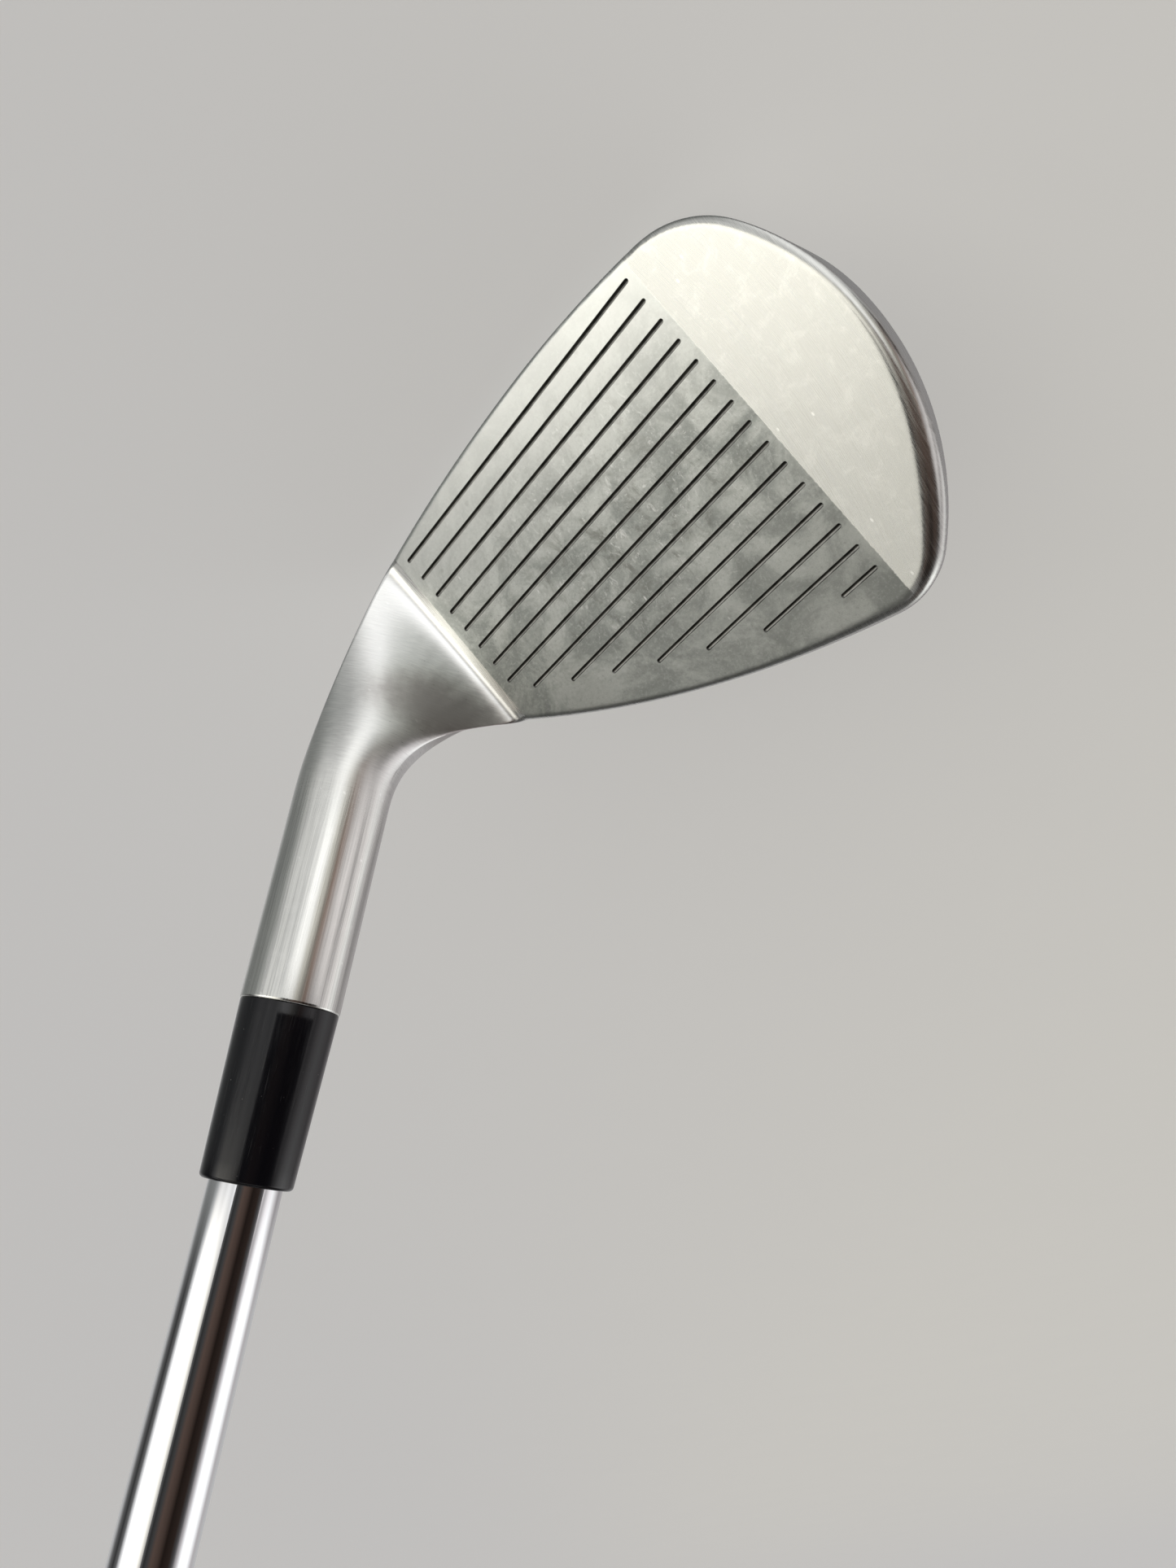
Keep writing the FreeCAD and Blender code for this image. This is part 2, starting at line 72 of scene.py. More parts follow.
def make_object(name, vertices, faces, smooth=True):
    """An object from points in millimetres."""
    mesh = bpy.data.meshes.new(name)
    mesh.from_pydata((np.asarray(vertices) * MM).tolist(), [], faces)
    mesh.update()
    mesh.polygons.foreach_set("use_smooth", [smooth] * len(mesh.polygons))
    piece = bpy.data.objects.new(name, mesh)
    bpy.context.scene.collection.objects.link(piece)
    return piece


def grid_faces(rows, columns, first=0, closed=False):
    """Quads of a grid whose columns close into rings; closed joins its last row to its first."""
    faces = []
    for row in range(rows if closed else rows - 1):
        below = first + row * columns
        above = first + (row + 1) % rows * columns
        for column in range(columns):
            following = (column + 1) % columns
            faces.append((below + column, below + following, above + following, above + column))
    return faces


def on_shaft(radius, angles, height):
    """A ring of points round the shaft's axis; the angles run from the toe side towards the back."""
    across = np.cos(angles)[:, None] * SHAFT_TOEWARD + np.sin(angles)[:, None] * SHAFT_BACK
    radius, height = (np.broadcast_to(part, len(angles))[:, None] for part in (radius, height))
    return SHAFT_FOOT + SHAFT_UP * height + across * radius


def full_turn(segments):
    return np.arange(segments) * 2 * math.pi / segments


def ring_object(name, rings):
    """A closed piece of rings of points, each joined to the next and the last to the first."""
    return make_object(name, np.concatenate(rings), grid_faces(len(rings), len(rings[0]), closed=True))


def lathe(name, profile):
    """A turned piece from (radius, height) points, in order up the outside and down the inside."""
    turn = full_turn(TURNED_SEGMENTS)
    return ring_object(name, [on_shaft(radius, turn, height) for radius, height in profile])


# ---- the blade as a distance field

# The outline square to the face, clockwise from the topline's heel end, as tangent arcs: (radius, degrees).
OUTLINE_START = (-61.84, 27.91)
OUTLINE_HEADING = 35.3
OUTLINE_ARCS = ((182.6, 20.7), (9.8, 58.2), (39.7, 74.9), (15.7, 52.7), (167.0, 8.8), (306.0, 12.2))
OUTLINE_RUN_ON = 12.0

SOLE_FRONT_RADIUS = 22.0
SOLE_REAR_RADIUS = 45.0
SOLE_ROCKER = 260.0
SOLE_EDGE_RADIUS = 2.6
TOPLINE_THICKNESS = 6.0
TAPER_FROM_V = 50.0
BACK_TAPER = 0.13
BACK_HOLLOW_RADIUS = 8.0
TRAILING_Y = 13.2
WALL_DRAFT = 0.1
BACK_EDGE_RADIUS = 1.6
BLADE_HEEL_X = 29.8

CAVITY_RIM = 6.4
CAVITY_FLOOR_V = 20.0
CAVITY_HEEL_U = -46.0
CAVITY_CORNER = 3.6
CAVITY_WALL_CORNER = 1.5
CAVITY_FLOOR_RADIUS = 0.8
CAVITY_LIP_RADIUS = 0.7
FACE_PLATE = 3.6

FACE_EDGE_RADIUS = 1.1
# Where the face's edge is rounder: (u, v, reach, added radius) at the upper and the lower toe corner.
FACE_EDGE_SWELLS = ((9, 44, 13.0, 1.8), (12, 8, 9.0, 0.4))

DEEP_INSIDE = -40.0
FIELD_BATCHES = 40


def to_face(points):
    """U, V and depth of each point."""
    away = points - FACE_ORIGIN
    return away @ FACE_U, away @ FACE_V, away @ FACE_D


def soft_max(a, b, radius):
    """The larger of two distances, with the corner between them rounded."""
    rounded = np.hypot(np.maximum(a + radius, 0), np.maximum(b + radius, 0))
    return np.minimum(-radius, np.maximum(a, b)) + rounded


def soft_min(a, b, radius):
    return -soft_max(-a, -b, radius)


def back_depth(v):
    """Depth of the upper back behind the face."""
    return TOPLINE_THICKNESS + (TAPER_FROM_V - v) * BACK_TAPER


def outline_arcs():
    """(centre, radius, middle heading, half the sweep) of each arc, with both ends run on past the heel."""
    heading = math.radians(OUTLINE_HEADING)
    x, y = OUTLINE_START
    run_on = math.radians(OUTLINE_RUN_ON)
    arcs = []
    for number, (radius, turn) in enumerate(OUTLINE_ARCS):
        centre = np.array([x + radius * math.sin(heading), y - radius * math.cos(heading)])
        start = heading + (run_on if number == 0 else 0)
        finish = heading - math.radians(turn)
        last = finish - (run_on if number == len(OUTLINE_ARCS) - 1 else 0)
        arcs.append((centre, radius, (start + last) / 2, (start - last) / 2))
        x = centre[0] - radius * math.sin(finish)
        y = centre[1] + radius * math.cos(finish)
        heading = finish
    return arcs


ARCS = outline_arcs()


def outline_distance(u, v):
    """Distance outside the outline; negative inside it."""
    nearest = np.full(np.shape(u), DEEP_INSIDE)
    for centre, radius, middle, half in ARCS:
        du = u - centre[0]
        dv = v - centre[1]
        heading = np.arctan2(dv, du) - math.pi / 2
        off = np.abs((heading - middle + math.pi) % (2 * math.pi) - math.pi)
        nearest = np.where(off <= half + 1e-9, np.maximum(nearest, np.hypot(du, dv) - radius), nearest)
    return nearest


def face_edge_radius(u, v):
    """Rounding of the face's edge: crisp along the sole, broad round the upper toe corner."""
    radius = FACE_EDGE_RADIUS
    for middle_u, middle_v, reach, added in FACE_EDGE_SWELLS:
        away = (u - middle_u) ** 2 + (v - middle_v) ** 2
        radius = radius + added * np.exp(-away / (2 * reach**2))
    return radius


def cavity_plan(u, v):
    """Distance outside the cavity's outline, seen square to the face."""
    cavity = soft_max(CAVITY_FLOOR_V - v, CAVITY_HEEL_U - u, CAVITY_CORNER)
    return soft_max(cavity, outline_distance(u, v) + CAVITY_RIM, CAVITY_WALL_CORNER)


def blade_distance(points):
    x, y, z = points.T
    u, v, depth = to_face(points)
    swing = np.hypot(x, z - SOLE_ROCKER)
    camber = np.where(y < 0, SOLE_FRONT_RADIUS, SOLE_REAR_RADIUS)
    reach = swing - (SOLE_ROCKER - camber)
    sole = np.where(reach < 0, -0.5 * camber, np.hypot(y, np.maximum(reach, 0)) - camber)
    upper_back = (depth - back_depth(v)) / math.hypot(1, BACK_TAPER)
    back = soft_min(upper_back, y - TRAILING_Y, BACK_HOLLOW_RADIUS)
    walls = outline_distance(u, v) + WALL_DRAFT * np.maximum(depth, 0)
    body = soft_max(soft_max(back, sole, SOLE_EDGE_RADIUS), walls, BACK_EDGE_RADIUS)
    body = soft_max(body, -depth, face_edge_radius(u, v))
    cavity = soft_max(cavity_plan(u, v), FACE_PLATE - depth, CAVITY_FLOOR_RADIUS)
    return soft_max(body, -cavity, CAVITY_LIP_RADIUS)


def gradient(field, points, step=0.01):
    """The field's slope at each point."""
    columns = [field(points + offset) - field(points - offset) for offset in np.eye(3) * step]
    return np.stack(columns, 1) / (2 * step)


def snap_to_surface(field, points, rounds=3):
    """Moves points down the slope onto the field's zero surface."""
    for _ in range(rounds):
        slope = gradient(field, points)
        miss = field(points) / np.maximum((slope**2).sum(1), 0.05)
        points = points - slope * miss[:, None]
    return points


def surface_nets(field, low, high, pitch):
    """Points and quads of a field's zero surface: one point in each cell that it crosses."""
    axes = [np.arange(a, b + pitch, pitch) for a, b in zip(low, high)]
    grids = np.meshgrid(*axes, indexing="ij")
    shape = grids[0].shape
    samples = np.stack([grid.ravel() for grid in grids], 1)
    values = np.concatenate([field(part) for part in np.array_split(samples, FIELD_BATCHES)]).reshape(shape)
    cells = tuple(count - 1 for count in shape)
    total = np.zeros(cells + (3,))
    hits = np.zeros(cells)
    quads = []
    for axis in range(3):
        first = np.delete(values, -1, axis)
        second = np.delete(values, 0, axis)
        crossed = (first < 0) != (second < 0)
        index = np.argwhere(crossed)
        part = first[crossed] / (first[crossed] - second[crossed])
        crossing = np.stack([axes[k][index[:, k]] for k in range(3)], 1)
        crossing[:, axis] += part * pitch
        sides = [(axis + 1) % 3, (axis + 2) % 3]
        inside = ((index[:, sides] > 0) & (index[:, sides] < np.array(cells)[sides])).all(1)
        corners = []
        for steps in ((0, 0), (1, 0), (1, 1), (0, 1)):
            corner = index.copy()
            corner[:, sides] -= steps
            real = (corner >= 0).all(1) & (corner < cells).all(1)
            np.add.at(total, tuple(corner[real].T), crossing[real])
            np.add.at(hits, tuple(corner[real].T), 1)
            corners.append(corner)
        quad = np.stack(corners, 1)[inside]
        leaving = (first[crossed] >= 0)[inside]
        quads.append(np.where(leaving[:, None, None], quad[:, ::-1], quad))
    used = hits > 0
    number = np.full(cells, -1)
    number[used] = np.arange(used.sum())
    corner = np.concatenate(quads)
    return total[used] / hits[used][:, None], number[corner[..., 0], corner[..., 1], corner[..., 2]]


# ---- neck and hosel

NECK_PULL_AT_HOSEL = 36.0
NECK_RINGS = 64
NECK_SMOOTHING = 60
NORMALS_INSET = 0.3
HEEL_LIP_V = -2.4
HEEL_CREST_V = 15.2
HEEL_SOLE_Y = 2.0
# For the heel section's corners (lip, topline front and back, crest, trailing edge, sole): where on the hosel
# each goes, in degrees from its toe side to its back, and its rail's pull off the blade.
HEEL_DIRECTIONS = (-92, 35, 75, 115, 150, 215)
HEEL_PULLS = (13.0, 10.5, 11.5, 11.5, 13.0, 11.0)


def heel_corner_places():
    """The sharp corners of the blade's heel section, in order."""
    x = BLADE_HEEL_X
    u = FACE_ORIGIN[0] - x
    centre, radius, _, _ = ARCS[0]
    top = centre[1] + math.sqrt(radius**2 - (u - centre[0]) ** 2)

    def on_face(v, depth):
        return FACE_ORIGIN + FACE_U * u + FACE_V * v + FACE_D * depth

    def on_sole(y):
        camber = SOLE_FRONT_RADIUS if y < 0 else SOLE_REAR_RADIUS
        return np.array([x, y, camber - math.sqrt(camber**2 - y**2) + x * x / (2 * SOLE_ROCKER)])

    front = [on_face(HEEL_LIP_V, 0), on_face(top, 0)]
    back = [on_face(top, back_depth(top)), on_face(HEEL_CREST_V, back_depth(HEEL_CREST_V))]
    return front + back + [on_sole(TRAILING_Y), on_sole(HEEL_SOLE_Y)]


def neck_targets(ring):
    """For each point of the blade's open end, its direction on the hosel in radians and its rail's pull."""
    along = np.cumsum(np.linalg.norm(ring - np.roll(ring, 1, 0), axis=1))
    nearest = [np.argmin(np.linalg.norm(ring - corner, axis=1)) for corner in heel_corner_places()]
    marks = along[nearest]
    length = along[-1]
    at = [*((marks - marks[0]) % length), length]
    place = (along - marks[0]) % length
    directions = np.interp(place, at, (*HEEL_DIRECTIONS, HEEL_DIRECTIONS[0] + 360))
    return np.radians(directions), np.interp(place, at, (*HEEL_PULLS, HEEL_PULLS[0]))


def neck_rings(ring):
    """Rings from the blade's open end to the hosel's foot, on rails that leave both without a kink."""
    angles, pulls = neck_targets(ring)
    heelward = np.array([1.0, 0.0, 0.0])
    normals = gradient(blade_distance, ring - heelward * NORMALS_INSET)
    normals /= np.linalg.norm(normals, axis=1)[:, None]
    leave = heelward - normals * (normals @ heelward)[:, None]
    for _ in range(NECK_SMOOTHING):
        leave = leave / 2 + (np.roll(leave, 1, 0) + np.roll(leave, -1, 0)) / 4
    leave = leave / np.linalg.norm(leave, axis=1)[:, None] * pulls[:, None]
    arrive = SHAFT_UP * NECK_PULL_AT_HOSEL
    ends = on_shaft(HOSEL_RADIUS, angles, HOSEL_BOTTOM)
    rings = []
    for step in range(1, NECK_RINGS + 1):
        part = step / NECK_RINGS
        far = part**3 * (10 - 15 * part + 6 * part**2)
        leaving = part - part**3 * (6 - 8 * part + 3 * part**2)
        arriving = part**3 * (-4 + 7 * part - 3 * part**2)
        rings.append(ring * (1 - far) + ends * far + leave * leaving + arrive * arriving)
    return angles, rings


def ordered_loop(edges):
    """The vertices of one closed loop of edges, in order."""
    vertex = edges[0].verts[0]
    edge = edges[0]
    loop = []
    allowed = set(edges)
    while True:
        loop.append(vertex)
        vertex = edge.other_vert(vertex)
        if vertex == loop[0]:
            return loop
        edge = next(other for other in vertex.link_edges if other in allowed and other != edge)


BLADE_BOX = ((-48, -16, -2), (31, 38, 45))
BLADE_PITCH = 0.37
# The hosel's rings by height, then its rounded top corner as (inset, drop) from its radius and its top.
HOSEL_HEIGHTS = (*np.linspace(HOSEL_BOTTOM, HOSEL_TOP - 0.45, 20)[1:], HOSEL_TOP - 0.25)
HOSEL_CORNER = ((0.05, 0.12), (0.14, 0.04), (0.3, 0.0))


def build_head():
    """Blade, neck, hosel and bore as one closed mesh."""
    points, quads = surface_nets(blade_distance, *BLADE_BOX, BLADE_PITCH)
    points = snap_to_surface(blade_distance, points)
    head = make_object("iron_head", points, quads.tolist())
    mesh = bmesh.new()
    mesh.from_mesh(head.data)
    cut = Vector((BLADE_HEEL_X * MM, 0, 0))
    geometry = mesh.verts[:] + mesh.edges[:] + mesh.faces[:]
    bmesh.ops.bisect_plane(mesh, geom=geometry, dist=1e-7, plane_co=cut, plane_no=(1, 0, 0), clear_outer=True)
    loop = ordered_loop([edge for edge in mesh.edges if edge.is_boundary])
    ring = np.array([vertex.co[:] for vertex in loop]) / MM
    y, z = ring[:, 1], ring[:, 2]
    if np.sum(y * np.roll(z, -1) - np.roll(y, -1) * z) > 0:
        loop.reverse()
        ring = ring[::-1]
    angles, rings = neck_rings(ring)
    turned = [(HOSEL_RADIUS, height) for height in HOSEL_HEIGHTS]
    turned += [(HOSEL_RADIUS - inset, HOSEL_TOP - drop) for inset, drop in HOSEL_CORNER]
    turned += [(BORE_RADIUS, HOSEL_TOP), (BORE_RADIUS, BORE_BOTTOM)]
    rings += [on_shaft(radius, angles, height) for radius, height in turned]
    previous = loop
    for places in rings:
        current = [mesh.verts.new(Vector(place) * MM) for place in places]
        for i in range(len(current)):
            j = (i + 1) % len(current)
            mesh.faces.new((previous[i], previous[j], current[j], current[i])).smooth = True
        previous = current
    mesh.faces.new(previous[::-1])
    bmesh.ops.recalc_face_normals(mesh, faces=mesh.faces[:])
    mesh.to_mesh(head.data)
    mesh.free()
    return head


# ---- score lines

LINE_PITCH = 3.5
LINE_LENGTHS = (55.34,) * 8 + (52.22, 46.16, 39.85, 33.04, 25.82, 17.58, 6.31)
# (depth, half the groove's width there): a broken lip, steep walls and a rounded floor.
LINE_SECTION = ((-0.35, 0.52), (-0.1, 0.4), (0.0, 0.35), (0.08, 0.31), (0.28, 0.25), (0.38, 0.19),
                (0.43, 0.08))
LINE_END_POINTS = 10
LINE_END_INSET = 0.425


def score_line_cutter():
    """One mesh of all the grooves, each a stack of round-ended loops."""
    quarter = np.linspace(-math.pi / 2, math.pi / 2, LINE_END_POINTS + 1)
    angles = np.concatenate([quarter, quarter + math.pi])[:, None]
    points = []
    faces = []
    for number, length in enumerate(LINE_LENGTHS):
        first = len(points)
        middles = np.repeat([-LINE_END_INSET, LINE_END_INSET - length], len(quarter))[:, None]
        for depth, half in LINE_SECTION:
            across = middles + half * np.cos(angles)
            up = number * LINE_PITCH + half * np.sin(angles)
            points.extend(FACE_ORIGIN + FACE_U * across + FACE_V * up + FACE_D * depth)
        faces += grid_faces(len(LINE_SECTION), len(angles), first)
        faces.append(tuple(range(first, first + len(angles)))[::-1])
        faces.append(tuple(range(len(points) - len(angles), len(points))))
    cutter = make_object("score_line_cutter", points, faces)
    mesh = bmesh.new()
    mesh.from_mesh(cutter.data)
    bmesh.ops.recalc_face_normals(mesh, faces=mesh.faces[:])
    mesh.to_mesh(cutter.data)
    mesh.free()
    return cutter


def cut_away(piece, cutter):
    """Cuts one mesh out of another for good, and removes the cutter."""
    modifier = piece.modifiers.new("cut", "BOOLEAN")
    modifier.operation = "DIFFERENCE"
    modifier.solver = "EXACT"
    modifier.object = cutter
    modifier.material_mode = "TRANSFER"
    evaluated = piece.evaluated_get(bpy.context.evaluated_depsgraph_get())
    finished = bpy.data.meshes.new_from_object(evaluated)
    piece.modifiers.clear()
    piece.data = finished
    bpy.data.objects.remove(cutter)


# ---- ferrule, shaft, label and grip

# The ferrule's top, and its radius at its foot and at its head.
FERRULE_TOP = 100.1
FERRULE_FOOT = 6.7
FERRULE_HEAD = 6.1
FERRULE_ROUNDING = 0.6
FERRULE_PARTS = 12

GRIP_BOTTOM = 641.0
SHAFT_END = 904.0
SHAFT_BOTTOM = 46.0
TIP_TOP = 135.0
TIP_RADIUS = 4.51
TIP_TAPER = 0.0057
TIP_BORE = 3.61
BUTT_RADIUS = 7.62
BUTT_BORE = 7.17
BUTT_BORE_BOTTOM = 620.0
FIRST_STEP = 290.0
STEP_PITCH = 22.0
STEP_COUNT = 15
STEP_LENGTH = 1.5
STEP_PARTS = 6


def tip_radius(height):
    return TIP_RADIUS + TIP_TAPER * (height - SHAFT_BOTTOM)


def rounded_corner(radius, height, size, upwards, steps):
    """A quarter round at a turned piece's outer corner, in order up the piece."""
    sign = 1 if upwards else -1
    arc = []
    for step in range(steps + 1):
        angle = math.pi / 2 * step / steps
        arc.append((radius - size * (1 - math.cos(angle)), height - sign * size * (1 - math.sin(angle))))
    return arc if upwards else arc[::-1]


def build_ferrule():
    """A plastic collar that tapers off the hosel and ends in a rounded edge round the shaft."""
    narrowing = FERRULE_FOOT - FERRULE_HEAD
    rise = FERRULE_TOP - FERRULE_ROUNDING - HOSEL_TOP
    mouth = tip_radius(FERRULE_TOP)
    profile = [(tip_radius(HOSEL_TOP) + 0.03, HOSEL_TOP)]
    profile += rounded_corner(FERRULE_FOOT, HOSEL_TOP, 0.12, upwards=False, steps=3)
    for part in range(1, FERRULE_PARTS):
        share = part / FERRULE_PARTS
        profile.append((FERRULE_FOOT - narrowing * share, HOSEL_TOP + rise * share))
    profile += rounded_corner(FERRULE_HEAD, FERRULE_TOP, FERRULE_ROUNDING, upwards=True, steps=8)
    profile += [(mouth + 0.13, FERRULE_TOP), (mouth + 0.03, FERRULE_TOP - 0.1)]
    return lathe("ferrule_collar", profile)


def build_shaft():
    """The stepped steel tube: each step is a short smooth swell."""
    straight = tip_radius(TIP_TOP)
    rise = (BUTT_RADIUS - straight) / STEP_COUNT
    profile = [(TIP_RADIUS, SHAFT_BOTTOM), (straight, TIP_TOP)]
    for step in range(STEP_COUNT):
        height = FIRST_STEP + step * STEP_PITCH
        for part in range(STEP_PARTS + 1):
            share = part / STEP_PARTS
            swell = 0.5 - 0.5 * math.cos(math.pi * share)
            profile.append((straight + (step + swell) * rise, height + STEP_LENGTH * share))
    profile += [(BUTT_RADIUS, SHAFT_END), (BUTT_BORE, SHAFT_END), (BUTT_BORE, BUTT_BORE_BOTTOM)]
    profile += [(straight - 0.6, FIRST_STEP), (straight - 0.9, TIP_TOP), (TIP_BORE, SHAFT_BOTTOM)]
    return lathe("stepped_shaft", profile)


GRIP_INSIDE = 7.83
# The grip's outside as (height up it, radius).
GRIP_SHAPE = ((0, 8.3), (1, 8.7), (59, 9.6), (129, 10.4), (194, 11.1), (224, 11.7), (244, 12.6), (256, 13.2),
              (263, 13.3))
GRIP_SEGMENTS = 168
GRIP_STEP = 0.42
GRIP_PATTERN = (14.0, 259.0)
GRIP_ROW = 4.9
GRIP_COLUMNS = 24
COLUMN_WIDTH = 2.7
SLOT_SLANT = (0.84, 0.54)
SLOT_HALF_LENGTH = 1.05
SLOT_HALF_WIDTH = 0.62
SLOT_WALL = 0.3
SLOT_DEPTH = 0.38
BAND_DEPTH = 0.3
BAND_MARGIN = 4.2
GRIP_BANDS = (9.0, 84.0, 159.0, 234.0, 250.0)
LABEL_BOTTOM = 607.0
LABEL_TOP = 633.0
LABEL_RADIUS = 7.74
VENT_RADIUS = 1.0


def grip_recess(along, turn):
    """Depth cut into the grip: a bottom bead, plain bands and staggered slanting slots."""
    bead = 0.45 * np.exp(-(((along - 4.2) / 0.55) ** 2))
    bands = sum(np.exp(-(((along - band) / 0.5) ** 2)) for band in GRIP_BANDS)
    bottom, top = GRIP_PATTERN
    row = np.floor((along - bottom) / GRIP_ROW)
    side = np.where(row % 2 == 0, 1.0, -1.0)
    across = ((turn / (2 * math.pi) * GRIP_COLUMNS + 0.25 * side) % 1.0 - 0.5) * COLUMN_WIDTH
    reach = (along - bottom) % GRIP_ROW - GRIP_ROW / 2
    cosine, sine = SLOT_SLANT
    long_way = reach * cosine + side * across * sine
    short_way = across * cosine - side * reach * sine
    away = np.hypot(np.maximum(np.abs(long_way) - SLOT_HALF_LENGTH, 0), short_way)
    slots = np.clip((SLOT_HALF_WIDTH - away) / SLOT_WALL, 0, 1)
    slots = slots * slots * (3 - 2 * slots)
    near_band = np.min([np.abs(along - band) for band in GRIP_BANDS], axis=0)
    field = (near_band > BAND_MARGIN) & (along > bottom) & (along < top)
    return bead + BAND_DEPTH * bands + SLOT_DEPTH * slots * field


def build_grip():
    """The rubber sleeve with its moulded pattern, open at both ends for the shaft."""
    length = SHAFT_END - GRIP_BOTTOM
    along = np.append(np.arange(0.0, length - GRIP_STEP / 2, GRIP_STEP), length)
    turn = full_turn(GRIP_SEGMENTS)
    recess = grip_recess(*np.meshgrid(along, turn, indexing="ij"))
    radii = np.interp(along, *zip(*GRIP_SHAPE))[:, None] - recess
    rings = [on_shaft(radius, turn, GRIP_BOTTOM + height) for radius, height in zip(radii, along)]
    rings += [on_shaft(GRIP_INSIDE, turn, height) for height in (SHAFT_END, GRIP_BOTTOM)]
    return ring_object("moulded_grip", rings)


CAP_RADIUS = 13.24
CAP_HEIGHT = 4.0
CAP_ROUNDING = 2.9
CAP_ROUND_STEPS = 12
CAP_RING_STEP = 0.2
# Moulded rings in the cap's end: (radius, width, depth).
CAP_RINGS = ((9.8, 0.35, 0.45), (4.2, 0.3, 0.35))
CAP_TICKS = 28
CAP_TICK_DEPTH = 0.4
CAP_TICK_ZONE = (5.4, 8.9)


def build_end_cap():
    """The butt cap: a soft rim, moulded rings, radial ticks and a vent hole through the middle."""
    edge = np.linspace(0.1, math.pi / 2, CAP_ROUND_STEPS)
    flat = CAP_RADIUS - CAP_ROUNDING
    rim_foot = 1.0
    radii = np.concatenate([[13.2, CAP_RADIUS, CAP_RADIUS], flat + CAP_ROUNDING * np.cos(edge),
                            np.arange(10.2, 1.1, -CAP_RING_STEP), [1.12, VENT_RADIUS, VENT_RADIUS]])
    heights = np.full(len(radii), CAP_HEIGHT)
    heights[:3] = (0.0, 0.1, rim_foot)
    heights[3:3 + CAP_ROUND_STEPS] = rim_foot + (CAP_HEIGHT - rim_foot) * np.sin(edge)
    for radius, width, depth in CAP_RINGS:
        heights[3:-2] -= depth * np.exp(-(((radii[3:-2] - radius) / width) ** 2))
    heights[-1] = 0.0
    turn = full_turn(GRIP_SEGMENTS)
    ticks = CAP_TICK_DEPTH * np.clip(2.5 * np.cos(turn * CAP_TICKS) - 0.9, 0, 1)
    inner, outer = CAP_TICK_ZONE
    rings = []
    for radius, height in zip(radii, SHAFT_END + heights):
        rings.append(on_shaft(radius, turn, height - ticks * (inner < radius < outer)))
    return ring_object("moulded_end_cap", rings)


def build_label():
    """A thin printed film wrapped round the shaft under the grip."""
    middle = (LABEL_BOTTOM + LABEL_TOP) / 2
    half = LABEL_TOP - middle
    edge = ((LABEL_RADIUS, half - 0.05), (LABEL_RADIUS - 0.03, half), (BUTT_RADIUS + 0.005, half))
    profile = [(radius, middle - reach) for radius, reach in edge[::-1]] + [(LABEL_RADIUS, middle)]
    return lathe("wrapped_label", profile + [(radius, middle + reach) for radius, reach in edge])


BADGE_GAP = 0.6
BADGE_FRONT = 4.1
BADGE_BACK = 5.3
BADGE_RIM = 1.6
BADGE_RIM_SLOPE = 0.35
BADGE_BEVEL = 0.45
RIB_PITCH = 2.2
FIELD_RECESS = 0.35
RIB_RELIEF = 0.22
# The smooth panel amid the ribs: its middle and its half sizes.
PANEL_MIDDLE = (-20.0, 29.5)
PANEL_HALVES = (17.0, 5.6)
BADGE_BOX = ((-47, 19.5, 3.6), (9, 46, 5.7))
BADGE_PITCH = 0.24


def badge_distance(places):
    """The cavity's badge in face coordinates: a bevelled plate with a raised rim and slanting ribs."""
    u, v, depth = places.T
    edge = cavity_plan(u, v) + BADGE_GAP
    field = np.clip((-edge - BADGE_RIM) / BADGE_RIM_SLOPE, 0, 1)
    ribs = np.abs(((u + v * 0.6) / RIB_PITCH) % 1.0 - 0.5) * 2
    ribs = np.clip((ribs - 0.42) / 0.2, 0, 1)
    out = np.hypot((u - PANEL_MIDDLE[0]) / PANEL_HALVES[0], (v - PANEL_MIDDLE[1]) / PANEL_HALVES[1])
    off_panel = np.clip((out - 1) * 14, 0, 1)
    back = BADGE_BACK - field * (FIELD_RECESS + RIB_RELIEF * (1 - ribs) * off_panel)
    return np.maximum(soft_max(depth - back, edge, BADGE_BEVEL), BADGE_FRONT - depth)


def build_badge():
    places, quads = surface_nets(badge_distance, *BADGE_BOX, BADGE_PITCH)
    points = FACE_ORIGIN + places @ np.array([FACE_U, FACE_V, FACE_D])
    return make_object("ribbed_badge", points, quads.tolist())


def dress(piece, material):
    piece.data.materials.clear()
    piece.data.materials.append(material)


def takes_place(piece, node, sharp):
    """Stands a detailed piece in for its CAD node, with edges sharp from so many degrees."""
    piece.data.set_sharp_from_angle(angle=math.radians(sharp))
    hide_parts(node)
    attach(piece, "root")


# ---- materials


